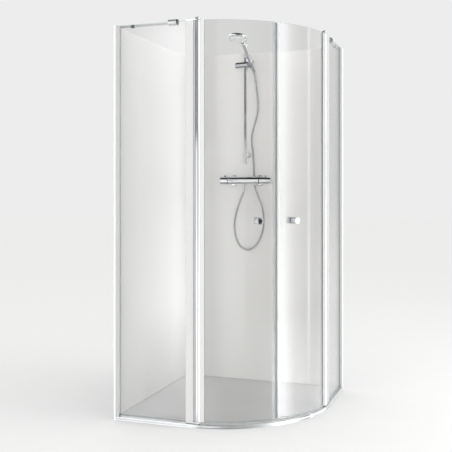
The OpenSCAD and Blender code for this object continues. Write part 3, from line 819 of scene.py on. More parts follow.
strap = soften(prism(arm_outline(0.010, -0.093, PX, 0.012), TOP, TOP + 0.004), 0.0007, 2)
cap = at(T(PX, PY, 0), turned([(0, 1.8535), (0.0125, 1.8535), (0.0125, 1.8600), (0.0112, 1.8618), (0.0034, 1.8620), (0.0030, 1.8606), (0, 1.8606)],
                              [0, 0.0002, 0.0008, 0.0006, 0.0002, 0.0001, 0], 72))
# Painted shade: the black ring at the foot of each pivot cap stands in for the shade in the groove there
groove = at(T(PX, PY, 0), ring([(0.0118, 1.8533), (0.0126, 1.8533), (0.0126, 1.8539), (0.0118, 1.8539)], 0.0001, 72))
pin_top = disc(0.004, 1.836, 1.8505, rr=0.0004, n=32)
strap_screw = at(T(-0.078, PY, 1.854), turned([(0, -0.001), (0.0038, -0.001), (0.0038, 0.0006), (0.0030, 0.0012), (0.0016, 0.0013), (0.0014, 0.0003), (0, 0.0003)], 0.0002, 32))
piece("top_pivots", [(both(join(strap, cap, pin_top)), M_CHROME), (both(groove), M_BLACK), (both(strap_screw), M_STEEL)], "root",
      ["top_pivot_brackets"])
foot_block = soften(prism(arm_outline(0.010, -0.093, PX, 0.012), 0.0182, 0.026), 0.0006, 2)
foot_block = cut(foot_block, box((-0.0931, -0.4502, 0.0219), (-0.0668, -0.4438, 0.027)))
foot_pin = disc(0.004, 0.0255, 0.040, rr=0.0004, n=32)
foot_pad = prism(arm_outline(0.0094, -0.0925, PX, 0.0113), 0.016, 0.0183)
piece("bottom_pivots", [(both(foot_block), M_LIGHT), (both(foot_pin), M_STEEL), (both(foot_pad), M_BLACK)], "root", ["bottom_pivot_blocks"])

SY, SZ = -0.430, 1.846
CLAMPS = (-0.137, -0.203)            # free ends of the left and the right clamp
def two(fn):
    return join(fn(CLAMPS[0]), flip(fn(CLAMPS[1])))


def stay_bar(x1):
    return at(rod_x(0, SY, SZ), turned([(0, -0.4455), (0.004, -0.4455), (0.004, x1 - 0.010), (0, x1 - 0.010)], [0, 0.0006, 0.0006, 0], 40))


cup = at(rod_x(0, SY, SZ), turned([(0, -0.4460), (0.0092, -0.4460), (0.0092, -0.4440), (0.0062, -0.4405), (0.0041, -0.4395), (0, -0.4395)],
                                  [0, 0.0002, 0.0006, 0.0006, 0.0002, 0], 48))
piece("stay_rods", (join(two(stay_bar), both(cup)), M_SATIN), "root", ["stay_bars"])
collar = at(rod_x(0, SY, SZ), ring([(0.0041, -0.378), (0.0074, -0.378), (0.0080, -0.3765), (0.0080, -0.3635), (0.0074, -0.362), (0.0041, -0.362)], 0.0004, 48))
collar_screw = at(T(-0.370, SY - 0.0078, SZ) @ R("X", 90), turned([(0, -0.001), (0.0022, -0.001), (0.0022, 0.0004), (0.0010, 0.0004), (0.0009, -0.0004), (0, -0.0004)], 0.0001, 20))
piece("stay_rings", [(both(collar), M_BLACK), (both(collar_screw), M_STEEL)], "root", ["stay_collars"])
CYL_Y, CYL_Z = -0.439, 1.848


def stay_slit(x1):
    return box((x1 - 0.053, -0.4501, 1.820), (x1 + 0.007, -0.4439, 1.8501))


def stay_clamp(x1):
    """A slotted barrel over the top edge of the glass, with a fine line before its dark end."""
    return cut(at(rod_x(0, CYL_Y, CYL_Z), turned([(0, x1 - 0.047), (0.014, x1 - 0.047), (0.014, x1 - 0.012), (0.0136, x1 - 0.0117), (0.0136, x1 - 0.0109),
                                                  (0.014, x1 - 0.0106), (0.014, x1 - 0.0045), (0, x1 - 0.0045)],
                                                 [0, 0.0010, 0.0002, 0.0001, 0.0001, 0.0002, 0.0003, 0], 72)), stay_slit(x1))


def stay_end(x1):
    return cut(at(rod_x(0, CYL_Y, CYL_Z), turned([(0, x1 - 0.0044), (0.0138, x1 - 0.0044), (0.0138, x1 - 0.0005), (0.0060, x1), (0, x1)],
                                                 [0, 0.0002, 0.0010, 0.0002, 0], 72)), stay_slit(x1))


def stay_grub(x1):
    return at(T(x1 - 0.026, CYL_Y - 0.0139, CYL_Z - 0.001) @ R("X", 90), turned([(0, -0.002), (0.0030, -0.002), (0.0030, 0.0006), (0.0015, 0.0007), (0.0013, -0.0005), (0, -0.0005)], 0.0002, 24))


def stay_pads(x1):
    return join(soften(box((x1 - 0.045, -0.4506, 1.8365), (x1 - 0.0055, -0.4500, 1.8495)), 0.0002, 1),
                soften(box((x1 - 0.045, -0.4440, 1.8365), (x1 - 0.0055, -0.4434, 1.8495)), 0.0002, 1))


piece("stay_grips", [(two(stay_clamp), M_SATIN), (two(stay_end), M_BLACK), (two(stay_grub), M_STEEL), (two(stay_pads), M_LIP)],
      "root", ["stay_clamps"], sharp=34)


# ---------------------------------------------------------------- doors
def grip_wave(count, depth, lo, hi, soft=0.0012):
    """Shallow flutes between two heights, fading out at both ends."""
    def wave(t, r, h):
        k = min(1, max(0, (h - lo) / soft)) * min(1, max(0, (hi - h) / soft))
        return r - depth * k * (0.5 - 0.5 * math.cos(count * t)) if r > 0.010 else r
    return wave


def knob():
    """Turned from the glass outwards, with a neck, a soft shoulder and a full round rim to a shallow dished end."""
    return turned([(0, 0), (0.0120, 0), (0.0120, 0.0028), (0.0128, 0.0034), (0.0160, 0.0046), (0.0160, 0.0118), (0.0150, 0.0119), (0.0150, 0.0133), (0.0160, 0.0134), (0.0160, 0.0320), (0.0118, 0.0320), (0.0108, 0.0317), (0, 0.03165)],
                  [0, 0.0002, 0.0006, 0.0004, 0.0010, 0.0005, 0.0001, 0.0001, 0.0005, 0.0024, 0.0004, 0.0008, 0], 96, 6)


def knob_band():
    return ring([(0.0148, 0.0120), (0.0152, 0.0120), (0.0152, 0.0132), (0.0148, 0.0132)], 0.0001, 96)


glass_hole = at(radial(KA, KZ) @ T(0, 0, RI - 0.005), turned([(0, 0), (0.006, 0), (0.006, 0.016), (0, 0.016)], [0, 0, 0, 0], 40))
curved = sector_shape(8.4, 44.0, RI, RO, 0.024, TOP, 72)
curved = soften(cut(curved, glass_hole), 0.0006, 2, 50)
tube_shape = at(T(PX, PY, 0), ring([(0.010, 0.0265), (0.012, 0.0265), (0.012, 1.849), (0.010, 1.849)], 0.0004, 72))
door_prof = soften(cad("left_door_profile"), 0.0005, 2, 40)


def seal_shape():
    """The clear magnet seal: a wrap on the pane and a soft lip that meets the other door."""
    outline = rounded([(43.2, RO + 0.0026), (43.9, RO + 0.0030), (44.94, RO + 0.0030), (44.94, RI - 0.0030), (43.9, RI - 0.0030), (43.2, RI - 0.0026),
                       (43.2, RI - 0.0001), (44.02, RI - 0.0001), (44.02, RO + 0.0001), (43.2, RO + 0.0001)], 0)
    pts = []
    for a, r in outline:
        t = rad(a)
        pts.append((CX + r * math.sin(t), CY - r * math.cos(t)))
    return soften(prism(pts, 0.0265, 1.848), 0.0005, 2, 40)


def polar_prism(corners, z0, z1, w=0.0004):
    pts = [(CX + r * math.sin(rad(a)), CY - r * math.cos(rad(a))) for a, r in corners]
    return soften(prism(pts, z0, z1), w, 2, 40)


magnet = polar_prism([(44.56, RO - 0.0004), (44.86, RO - 0.0004), (44.86, RI + 0.0004), (44.56, RI + 0.0004)], 0.028, 1.8465, 0.0003)
sweep_sec = rounded([(RI - 0.0025, 0.0215), (RI - 0.0025, 0.0305), (RI - 0.0001, 0.0320), (RI - 0.0001, 0.0236), (RO + 0.0001, 0.0236), (RO + 0.0001, 0.0320),
                     (RO + 0.0025, 0.0305), (RO + 0.0025, 0.0220), (RO + 0.0015, 0.0182), (RO + 0.0004, 0.0182), (RO - 0.0010, 0.0210), (RI + 0.0030, 0.0210),
                     (RI + 0.0006, 0.0182), (RI - 0.0006, 0.0182)], 0.0003, 2)
sweep_seal = sector_section(9.7, 43.15, sweep_sec, 60)
for side, fn in (("left", lambda s: s), ("right", flip)):
    body = side + "_door"
    n = side + "_"

    def clear_face(normal, centre, side=side):
        c = centre if side == "left" else Vector((-centre.y, -centre.x, centre.z))
        m = normal if side == "left" else Vector((-normal.y, -normal.x, normal.z))
        out = Vector((c.x - CX, c.y - CY, 0))
        return abs(m.dot(out.normalized())) > 0.995 and (abs(out.length - RO) < 0.0009 or abs(out.length - RI) < 0.0009)

    pane(n + "curved_pane", fn(curved), n + "door_glass", body, clear_face)
    piece(n + "pivot_tube", (fn(tube_shape), M_CHROME), body, [n + "hinge_tube"])
    paint(n + "hinge_bushes", M_NYLON)
    paint(n + "knob_stud", M_STEEL)
    strip_o = piece(n + "door_strip", (fn(door_prof), M_LIGHT), body, [n + "door_profile"])
    if side == "right":
        # On the right door only, the front-facing faces of the inner flange and the web get a lighter copy of the
        # strip's finish: painted light that lifts the shade these faces sit in
        strip_o.data.materials.append(M_STRIP_PAINTED_LIGHT)
        for p in strip_o.data.polygons:
            if p.material_index == 0 and p.normal.y < -0.9 and math.hypot(-p.center.y - CX, -p.center.x - CY) < RO - 0.0002:
                p.material_index = len(strip_o.data.materials) - 1
    piece(n + "closing_seal", (fn(seal_shape()), M_SEAL), body, [n + "magnet_seal"])
    piece(n + "closing_magnet", (fn(magnet), M_MAGNET), body, ())
    piece(n + "sweep_seal", (fn(sweep_seal), M_SEAL), body, [n + "bottom_seal"])
    out_m = radial(KA, KZ) @ T(0, 0, RO)
    in_m = radial(KA, KZ) @ T(0, 0, RI - 0.0002) @ Matrix.Diagonal((1, 1, -1, 1))
    for m, which in ((out_m, "outer"), (in_m, "inner")):
        piece(n + "grip_" + which, [(fn(at(m, knob())), M_CHROME), (fn(at(m, knob_band())), M_BLACK)], body, [n + "knob_" + which])


# ---------------------------------------------------------------- mixer
barrel = ring([(0.018, -0.174), (0.0214, -0.174), (0.0214, -0.1712), (0.0228, -0.1710), (0.0230, -0.1705), (0.0230, -0.1560), (0.0226, -0.1558), (0.0226, -0.1550), (0.0230, -0.1548),
               (0.0230, -0.0092), (0.0226, -0.0090), (0.0226, -0.0082), (0.0230, -0.0080), (0.0230, 0.0065), (0.0228, 0.0070), (0.0214, 0.0072), (0.0214, 0.010), (0.016, 0.010),
               (0.016, -0.034), (0.008, -0.034), (0.008, -0.108), (0.018, -0.108)], 0.00018, 96, 2)
stub = ring([(0.006, 0.010), (0.0155, 0.010), (0.0140, 0.0245), (0.0140, 0.029), (0.006, 0.029)], 0.0005, 64)
spout = ring([(0.006, -0.0275), (0.0105, -0.0275), (0.0110, -0.0270), (0.0110, -0.0240), (0.0128, -0.0205), (0.0128, -0.0150), (0.006, -0.0150)], 0.0004, 64)
# Painted shade: black rings at both ends of the barrel, where the handles meet the body, stand in for the shade in
# these gaps
gap_shade_rings = [ring([(0.0212, a), (0.0219, a), (0.0219, a + 0.0026), (0.0212, a + 0.0026)], 0.0002, 96) for a in (-0.1739, 0.0073)]
piece("mixer_barrel", [(join(at(rod_x(0, MY, MZ), barrel), at(rod_y(-0.157, MY, MZ), stub), at(rod_y(-0.007, MY, MZ), stub),
                            at(T(-0.078, MY, MZ), spout)), M_CHROME_BRIGHT), (at(rod_x(0, MY, MZ), join(*gap_shade_rings)), M_BLACK)], "root", ["mixer_body"])


def hex_nut(r, h0, h1, bore):
    body = soften(prism(hexagon(r), h0, h1), 0.0007, 2, 30)
    hole = turned([(0, h0 - 0.01), (bore, h0 - 0.01), (bore, h1 + 0.01), (0, h1 + 0.01)], [0, 0, 0, 0], 40)
    return cut(body, hole)


nut = hex_nut(0.0130, 0.0292, 0.0425, 0.006)
neck = ring([(0.006, 0.0425), (0.0118, 0.0425), (0.0118, 0.050), (0.0100, 0.0505), (0.0100, 0.068), (0.0105, 0.0684), (0.0105, 0.0750), (0.006, 0.0750)], 0.0003, 64)
piece("inlet_unions", (join(*[at(rod_y(x, MY, MZ), s) for x in (-0.157, -0.007) for s in (nut, neck)]), M_CHROME), "root", ["mixer_unions"])
rose = ring([(0.0107, 0.0508), (0.0158, 0.0508), (0.0170, 0.0518), (0.0185, 0.0540), (0.0265, 0.0548), (0.0298, 0.0566), (0.0310, 0.0588), (0.0310, 0.0599), (0.0107, 0.0599)],
            [0.0002, 0.001, 0.001, 0.002, 0.003, 0.002, 0.0008, 0.0002, 0.0002], 96, 4)
piece("wall_roses", (join(*[at(rod_y(x, MY, MZ), rose) for x in (-0.157, -0.007)]), M_CHROME), "root", ["mixer_escutcheons"])
paint("thermostat_cartridge", M_BRASS)
paint("flow_cartridge", M_BRASS)


def button_hole(x):
    return at(T(x, MY, MZ + 0.0122), turned([(0, 0), (0.0061, 0), (0.0061, 0.0145), (0, 0.0145)], [0, 0, 0, 0], 48))


warm = turned([(0, -0.218), (0.0190, -0.218), (0.0205, -0.2174), (0.0222, -0.2160), (0.0225, -0.2145), (0.0225, -0.2000), (0.0221, -0.1997), (0.0221, -0.1989),
               (0.0225, -0.1986), (0.0225, -0.1752), (0.0222, -0.1746), (0.0050, -0.1746), (0.0050, -0.1460), (0, -0.1460)],
              [0, 0.0006, 0.0008, 0.0008, 0.0006, 0.0002, 0.0001, 0.0001, 0.0002, 0.0003, 0.0003, 0.0003, 0.0004, 0], 144, 3,
              grip_wave(36, 0.0007, -0.2140, -0.2005))
warm = cut(at(rod_x(0, MY, MZ), warm), button_hole(-0.192))
piece("temperature_grip", (warm, M_CHROME), "temperature_control", ["temperature_handle"], sharp=34)
cold = turned([(0, 0.0760), (0.0160, 0.0760), (0.0178, 0.0754), (0.0190, 0.0740), (0.0190, 0.0566), (0.0194, 0.0562), (0.0222, 0.0558), (0.0225, 0.0550), (0.0225, 0.0530),
               (0.0225, 0.0360), (0.0221, 0.0357), (0.0221, 0.0349), (0.0225, 0.0346), (0.0225, 0.0112), (0.0222, 0.0106), (0.0050, 0.0106), (0.0050, -0.0140), (0, -0.0140)],
              [0, 0.0006, 0.001, 0.0008, 0.0004, 0.0002, 0.0004, 0.0004, 0.0002, 0.0002, 0.0001, 0.0001, 0.0002, 0.0003, 0.0003, 0.0003, 0.0004, 0], 144, 3,
              grip_wave(36, 0.0007, 0.0590, 0.0735))
cold = cut(at(rod_x(0, MY, MZ), cold), button_hole(0.044))
piece("flow_grip", (cold, M_CHROME), "flow_control", ["flow_handle"], sharp=34)


def button(x):
    return at(T(x, MY, MZ + 0.015), turned([(0, 0), (0.0058, 0), (0.0060, 0.0003), (0.0060, 0.0120), (0.0051, 0.0133), (0, 0.0135)],
                                           [0, 0.0001, 0.0001, 0.0008, 0.0008, 0], 48))


piece("safety_stop", (button(-0.192), M_BUTTON), "safety_button", ["temperature_button"])
piece("eco_stop", (button(0.044), M_CHROME_GRIP), "eco_button", ["flow_button"])
outlet = ring([(0.0060, -0.0275), (0.0108, -0.0275), (0.0120, -0.0285), (0.0120, -0.0465), (0.0112, -0.0485), (0.0098, -0.0490), (0.0074, -0.0490), (0.0074, -0.0380), (0.0060, -0.0370)],
              [0.0002, 0.0004, 0.0006, 0.0008, 0.0006, 0.0004, 0.0003, 0.0003, 0.0003], 120, 3, grip_wave(30, 0.0008, -0.0455, -0.0300))
piece("outlet_collar", (at(T(-0.078, MY, MZ), outlet), M_CHROME), "root", ["hose_outlet_nut"])

# ---------------------------------------------------------------- riser rail and slider
rail = ring([(0.0085, 1.226), (0.0100, 1.226), (0.0100, 1.887), (0.0085, 1.887)], 0.0003, 72)
plug = turned([(0, 1.8868), (0.0100, 1.8868), (0.0100, 1.8915), (0.0088, 1.8930), (0, 1.8932)], [0, 0.0003, 0.0008, 0.0008, 0], 72)
plug_low = turned([(0, 1.2263), (0.0080, 1.2263), (0.0084, 1.2275), (0.0084, 1.2310), (0, 1.2310)], [0, 0.0004, 0.0004, 0.0002, 0], 48)
piece("riser_tube", [(at(T(RX, RY, 0), rail), M_CHROME), (at(T(RX, RY, 0), plug), M_CHROME), (at(T(RX, RY, 0), plug_low), M_BLACK)],
      "root", ["riser_rail"])
bracket = []
for z in (1.275, 1.828):
    collar_b = at(T(RX, RY, z), ring([(0.0100, -0.011), (0.0132, -0.011), (0.0140, -0.010), (0.0140, 0.010), (0.0132, 0.011), (0.0100, 0.011)], 0.0005, 72))
    stem = at(rod_y(RX, RY, z), ring([(0.0020, 0.0125), (0.0085, 0.0125), (0.0080, 0.018), (0.0080, 0.048), (0.0095, 0.0530), (0.0142, 0.0545), (0.0150, 0.0555), (0.0150, 0.0598), (0.0020, 0.0598)],
                                     [0.0002, 0.001, 0.003, 0.004, 0.002, 0.001, 0.0004, 0.0002, 0.0002], 64, 4))
    bracket += [collar_b, stem]
piece("rail_supports", (join(*bracket), M_BRACKET), "root", ["rail_brackets"])

M_SLIDER = T(RX, RY, 1.775) @ R("Z", -12)
M_HOLDER = M_SLIDER @ T(0.036, 0, 0) @ R("X", 42)
M_HEAD = M_HOLDER @ T(0, 0, 0.152) @ R("X", 36) @ T(0, 0, 0.048)
M_DISC = M_HEAD @ R("X", -90)
slide = turned([(0, -0.030), (0.0172, -0.030), (0.0180, -0.0292), (0.0180, 0.0160), (0.0165, 0.0180), (0, 0.0180)], [0, 0.0004, 0.0006, 0.0015, 0.0012, 0], 96)
slide = cut(at(M_SLIDER @ R("Y", 90), slide), at(M_SLIDER, turned([(0, -0.03), (0.01005, -0.03), (0.01005, 0.03), (0, 0.03)], [0, 0, 0, 0], 64)),
            at(M_SLIDER @ R("Y", 90), turned([(0, 0.0115), (0.00805, 0.0115), (0.00805, 0.02), (0, 0.02)], [0, 0, 0, 0], 48)))
piece("slider_block", (slide, M_CHROME), "slider", ["slider_body"], sharp=34)
lock = turned([(0, -0.0620), (0.0145, -0.0620), (0.0160, -0.0616), (0.0176, -0.0602), (0.0180, -0.0588), (0.0180, -0.0340), (0.0175, -0.0336), (0.0175, -0.0328), (0.0180, -0.0324),
               (0.0176, -0.0305), (0.0040, -0.0305), (0.0040, -0.0120), (0, -0.0120)],
              [0, 0.0006, 0.001, 0.001, 0.0006, 0.0002, 0.0001, 0.0001, 0.0003, 0.0003, 0.0002, 0.0003, 0], 144, 3, grip_wave(30, 0.0009, -0.0580, -0.0350))
piece("lock_knob", (at(M_SLIDER @ R("Y", 90), lock), M_CHROME), "slider_lock", ["slider_knob"], sharp=34)
piece("holder_cup", (soften(cad("handset_holder", 0.3), 0.0006, 2, 42), M_CHROME), "holder", ["handset_holder"], sharp=34)
cone = turned([(0, -0.0500), (0.0090, -0.0500), (0.0098, -0.0492), (0.0110, -0.0470), (0.0120, -0.0400), (0.0120, -0.0170), (0.0110, -0.0156), (0.01092, -0.0140),
               (0.0138, 0.0149), (0, 0.0149)], [0, 0.0004, 0.0006, 0.001, 0.003, 0.0005, 0.0004, 0.0004, 0.0003, 0], 120, 3, grip_wave(30, 0.0007, -0.0410, -0.0190))
piece("cone_nut", (at(M_HOLDER, cone), M_CHROME), "handset", ["hose_cone_nut"], sharp=34)


# ---------------------------------------------------------------- hand shower
def handset_shape():
    """The handle and the head, melted into one another as a moulding is."""
    centres, rr = [], []
    end = M_HOLDER.inverted() @ (M_HEAD @ Vector((0, 0.0045, -0.010)))
    for k in range(73):                      # up the handle, then bending into the head
        s = k / 72
        if s < 0.68:
            z = 0.0152 + (0.134 - 0.0152) * s / 0.68
            centres.append(tuple(M_HOLDER @ Vector((0, 0, z))))
            rr.append(float(np.interp(z, [0.015, 0.018, 0.040, 0.080, 0.115, 0.134], [0.0131, 0.0134, 0.0122, 0.0124, 0.0129, 0.0130])))
        else:
            t = (s - 0.68) / 0.32
            a, b = Vector((0, 0, 0.134)), Vector((0, 0, 0.158))
            centres.append(tuple(M_HOLDER @ (a * (1 - t) ** 2 + b * 2 * t * (1 - t) + end * t * t)))
            rr.append(0.0130 - 0.0048 * t)
    handle = tube(centres, rr, 40)
    shell = at(M_DISC, turned([(0, -0.0078), (0.0500, -0.0078), (0.0519, -0.0064), (0.0521, 0.0040), (0.0500, 0.0076), (0.0440, 0.0106), (0.0300, 0.0134), (0.0120, 0.0149), (0, 0.0150)],
                              [0, 0.001, 0.0012, 0.0025, 0.003, 0.006, 0.01, 0.01, 0], 120, 6))
    o = temp(join(handle, shell))
    m = o.modifiers.new("melt", "REMESH")
    m.mode, m.voxel_size = "VOXEL", 0.0011
    m = o.modifiers.new("smooth", "SMOOTH")
    m.factor, m.iterations = 0.6, 14
    # The face under the head is flat where the ring and the spray plate sit
    flat = at(M_DISC, turned([(0, -0.0380), (0.0526, -0.0380), (0.0526, -0.0081), (0, -0.0081)], [0, 0, 0, 0], 120))
    return cut(applied(o), flat)


body_shape = handset_shape()
foot_ring = at(M_HOLDER, ring([(0.0100, 0.0150), (0.0135, 0.0150), (0.0135, 0.0176), (0.0100, 0.0176)], 0.0004, 64))
shell_o = piece("handset_shell", [(body_shape, M_CHROME_BRIGHT), (foot_ring, M_CHROME_GRIP)], "handset", ["handset_body"], sharp=60, weighted=False)
DISC_INV = M_DISC.inverted()
repaint(shell_o, M_HANDLE, lambda c: (DISC_INV @ c).xy.length > 0.0535)
plate = turned([(0, -0.0118), (0.0180, -0.0118), (0.0400, -0.0112), (0.0418, -0.0100), (0.0418, -0.0081), (0, -0.0081)], [0, 0.002, 0.002, 0.0008, 0.0002, 0], 120, 4)
nozzles = []
for count, r in ((1, 0.0), (6, 0.0065), (12, 0.0130), (18, 0.0195), (24, 0.0262), (30, 0.0335)):
    for i in range(count):
        a = 2 * math.pi * (i + 0.5 * (count % 4 == 0)) / count
        nozzles.append(at(T(r * math.cos(a), r * math.sin(a), -0.0110), turned([(0, 0), (0.0014, 0), (0.0013, -0.0010), (0.0009, -0.0021), (0, -0.0022)], [0, 0, 0.0002, 0.0002, 0], 10, 2)))
piece("spray_face", [(at(M_DISC, plate), M_SPRAY), (at(M_DISC, join(*nozzles)), M_NOZZLE)], "handset", ["spray_plate"])
select = ring([(0.0426, -0.0109), (0.0480, -0.0109), (0.0500, -0.0100), (0.0500, -0.0084), (0.0426, -0.0084)], 0.0004, 120)
tab = soften(box((-0.0550, -0.0070, -0.0109), (-0.0470, 0.0070, -0.0084)), 0.0008, 3)
ribs = [soften(box((-0.0548, y - 0.0005, -0.0114), (-0.0500, y + 0.0005, -0.0106)), 0.0002, 1) for y in (-0.0045, -0.0015, 0.0015, 0.0045)]
piece("spray_ring_body", (at(M_DISC, join(select, tab, *ribs)), M_SELECT), "spray_ring", ["spray_selector"])


# ---------------------------------------------------------------- stage and light
def stage_material():
    return surface("stage_floor", (0.975, 0.975, 0.975), (0.985, 0.985, 0.985), (0.6, 0.7), grain=3, specular=0.0)


floor_me = bpy.data.meshes.new("floor_sheet")
floor_me.from_pydata([(30 * math.cos(math.pi * k / 60), 30 * math.sin(math.pi * k / 60), -0.0006) for k in range(120)], [], [tuple(range(120))])
floor_me.materials.append(stage_material())
floor_o = bpy.data.objects.new("floor_sheet", floor_me)
scene.collection.objects.link(floor_o)
floor_o.visible_glossy = False

world = bpy.data.worlds.new("studio")
scene.world = world
world.use_nodes = True
wt = world.node_tree
wt.nodes.clear()
w_out = wt.nodes.new("ShaderNodeOutputWorld")
lp = wt.nodes.new("ShaderNodeLightPath")


def background(strength, color=(1, 1, 1), link=None):
    b = wt.nodes.new("ShaderNodeBackground")
    b.inputs["Color"].default_value = (*color, 1)
    b.inputs["Strength"].default_value = strength
    if link:
        wt.links.new(link, b.inputs["Strength"])
    return b.outputs["Background"]


def calc(op, a, b=None, c=None):
    n = wt.nodes.new("ShaderNodeMath")
    n.operation = op
    for i, x in enumerate((a, b, c)):
        if x is None:
            continue
        if isinstance(x, (int, float)):
            n.inputs[i].default_value = x
        else:
            wt.links.new(x, n.inputs[i])
    return n.outputs["Value"]


def curve_of(value, stops):
    """Piecewise straight from stops of (position, value)."""
    lo, hi = stops[0][0], stops[-1][0]
    r = wt.nodes.new("ShaderNodeFloatCurve")
    c = r.mapping.curves[0]
    top = max(v for _, v in stops)
    pts = [((p - lo) / (hi - lo), v / top) for p, v in stops]
    c.points[0].location = pts[0]
    c.points[1].location = pts[-1]
    for p in pts[1:-1]:
        c.points.new(*p)
    for p in c.points:
        p.handle_type = "VECTOR"
    r.mapping.update()
    wt.links.new(calc("DIVIDE", calc("SUBTRACT", value, lo), hi - lo), r.inputs["Value"])
    return calc("MULTIPLY", r.outputs["Value"], top)


def blended(a, b, share):
    return calc("MULTIPLY_ADD", calc("SUBTRACT", b, a), share, a)


tc = wt.nodes.new("ShaderNodeTexCoord")
xyz = wt.nodes.new("ShaderNodeSeparateXYZ")
wt.links.new(tc.outputs["Generated"], xyz.inputs["Vector"])
azimuth = calc("MULTIPLY", calc("ARCTAN2", xyz.outputs["Y"], xyz.outputs["X"]), 180 / math.pi)
height = xyz.outputs["Z"]
# What shiny surfaces see: tall soft boxes with darker gaps between them round the object, a pale belt above them and a dark ceiling.
low_bands = curve_of(azimuth, [(-180, 0.9), (-126, 0.9), (-120, 0.4), (-116.5, 0.5), (-112.8, 4.0), (-111.3, 4.5), (-110.5, 1.75), (-103, 1.75), (-100, 0.7), (-63, 0.7),
                               (-52, 0.55), (-47, 0.04), (-24, 0.04), (-18, 0.25), (-15, 4.2), (-6, 4.4), (1, 2.3), (8, 1.1), (20, 0.4), (27, 0.5), (30.3, 3.1), (31.8, 0.9),
                               (52, 1.0), (57, 0.74), (79, 0.74), (110, 0.9), (180, 0.9)])
high_bands = curve_of(azimuth, [(-180, 0.9), (-126, 0.9), (-120, 0.4), (-116.5, 0.5), (-112.8, 4.0), (-111.3, 4.5), (-110.5, 1.25), (-103, 0.10), (-81, 0.06), (-76, 0.60),
                                (-52, 0.60), (-40, 0.36), (-24, 0.20), (-18, 0.45), (-15, 4.2), (-6, 4.4), (1, 2.3), (8, 1.1), (20, 0.4), (27, 0.5), (30.3, 3.1), (31.8, 0.9),
                                (52, 1.0), (57, 0.74), (79, 0.74), (110, 0.9), (180, 0.9)])
under_bands = curve_of(azimuth, [(-180, 1.0), (-120, 0.6), (-113, 1.1), (-111.3, 1.3), (-110.5, 2.3), (-100, 2.2), (-96, 1.0), (-84, 1.0), (-74, 0.6), (-68, 0.42), (-48, 0.42), (-36, 0.55),
                                 (-21, 1.0), (-15, 6.5), (-6, 6.5), (8, 3.0), (25, 2.4), (61, 1.8), (64, 0.8), (90, 0.9), (180, 0.9)])
floor_bands = curve_of(azimuth, [(-180, 0.5), (-95, 0.3), (-80, 0.35), (-66, 1.2), (-30, 1.3), (-10, 0.5), (20, 0.3), (60, 0.5), (180, 0.7)])
dark_side = curve_of(azimuth, [(-180, 1), (-121, 1), (-118, 0), (-110.8, 0), (-109.6, 1), (-84, 1), (-79, 0), (164, 0), (170, 1), (180, 1)])
dark_rise = curve_of(height, [(-1, 0), (0.060, 0), (0.075, 1), (0.215, 1), (0.235, 0), (1, 0)])
bands = blended(low_bands, high_bands, curve_of(height, [(-1, 0), (0.055, 0), (0.085, 1), (1, 1)]))
bands = blended(bands, under_bands, curve_of(height, [(-1, 1), (-0.25, 1), (-0.15, 0), (1, 0)]))
bands = blended(bands, floor_bands, curve_of(height, [(-1, 1), (-0.42, 1), (-0.36, 0), (1, 0)]))
bands = blended(bands, 0.03, calc("MULTIPLY", dark_side, dark_rise))
level_side = curve_of(azimuth, [(-180, 0), (-127, 0), (-124, 1), (-104, 1), (-101, 0), (180, 0)])
level_rise = curve_of(height, [(-1, 1), (-0.42, 1), (-0.34, 0), (0.20, 0), (0.25, 1), (1, 1)])
bands = blended(bands, 1.15, calc("MULTIPLY", level_side, level_rise))
row_side = curve_of(azimuth, [(-180, 0), (-128, 0), (-124, 1), (-96, 1), (-90, 0), (-22, 0), (-16, 1), (75, 1), (80, 0), (180, 0)])
row_rise = curve_of(height, [(-1, 0), (-0.36, 0), (-0.33, 1), (-0.2795, 1), (-0.2745, 0), (1, 0)])
bands = blended(bands, 0.5, calc("MULTIPLY", row_side, row_rise))
belt = blended(bands, 1.35, curve_of(height, [(-1, 0), (0.250, 0), (0.290, 1), (1, 1)]))
cap_side = curve_of(azimuth, [(-180, 0), (-104, 0), (-98, 1), (-24, 1), (-16, 0), (180, 0)])
belt = blended(belt, 0.03, calc("MULTIPLY", cap_side, curve_of(height, [(-1, 0), (0.37, 0), (0.45, 1), (1, 1)])))
wide_cap = curve_of(azimuth, [(-180, 0), (-168, 0), (-160, 1), (-12, 1), (-4, 0), (180, 0)])
belt = blended(belt, 0.03, calc("MULTIPLY", wide_cap, curve_of(height, [(-1, 0), (0.50, 0), (0.55, 1), (1, 1)])))
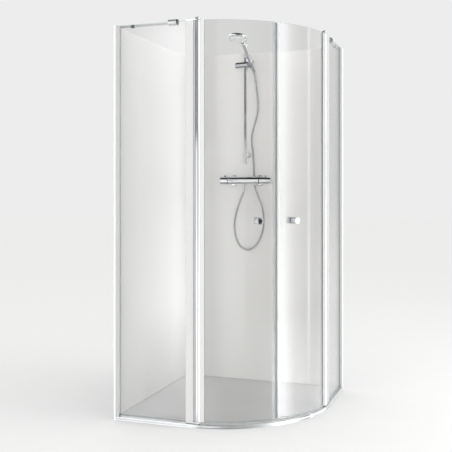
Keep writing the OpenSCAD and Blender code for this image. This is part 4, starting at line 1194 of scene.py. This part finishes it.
levels = curve_of(height, [(-1, 0.6), (-0.97, 0.6), (-0.94, 0.5), (-0.78, 0.5), (-0.70, 0.8), (-0.35, 1.2), (-0.12, 1.3), (0.0, 1.0), (0.56, 1.0), (0.66, 0.06), (0.85, 0.02), (1.0, 0.02)])
shiny = background(1.0, (0.985, 0.99, 1.0), calc("MULTIPLY", belt, levels))
ambient = background(1.0, (1.0, 0.998, 0.993), curve_of(height, [(-1, 1.11), (0.0, 1.11), (0.4, 0.97), (1.0, 0.72)]))
seen = background(0.845)
m1 = wt.nodes.new("ShaderNodeMixShader")
wt.links.new(lp.outputs["Is Glossy Ray"], m1.inputs["Fac"])
wt.links.new(ambient, m1.inputs[1])
wt.links.new(shiny, m1.inputs[2])
m2 = wt.nodes.new("ShaderNodeMixShader")
wt.links.new(lp.outputs["Is Camera Ray"], m2.inputs["Fac"])
wt.links.new(m1.outputs["Shader"], m2.inputs[1])
wt.links.new(seen, m2.inputs[2])
wt.links.new(m2.outputs["Shader"], w_out.inputs["Surface"])


def area(name, at_, to, size, power, color=(1, 1, 1)):
    d = bpy.data.lights.new(name, "AREA")
    d.shape = "RECTANGLE"
    d.size, d.size_y = size
    d.energy = power
    d.color = color
    o = bpy.data.objects.new(name, d)
    scene.collection.objects.link(o)
    o.location = at_
    o.rotation_euler = (Vector(to) - Vector(at_)).to_track_quat("-Z", "Y").to_euler()
    o.visible_camera = False
    o.visible_glossy = False
    return o


area("key_front", (2.8, -8.4, 0.55), (0.0, 0.2, 0.5), (2.2, 1.0), 465)
area("side_right", (4.2, 0.10, 1.0), (-0.4, 0.10, 0.85), (1.6, 2.4), 75)

up = bpy.data.lights.new("head_fill", "SPOT")
up.energy, up.spot_size, up.spot_blend, up.shadow_soft_size = 25, rad(7.5), 0.6, 0.02
up_o = bpy.data.objects.new("head_fill", up)
scene.collection.objects.link(up_o)
up_o.location = (-0.10, -0.30, 0.35)
up_o.rotation_euler = (Vector((-0.066, 0.233, 1.895)) - Vector(up_o.location)).to_track_quat("-Z", "Y").to_euler()
up_o.visible_glossy = False
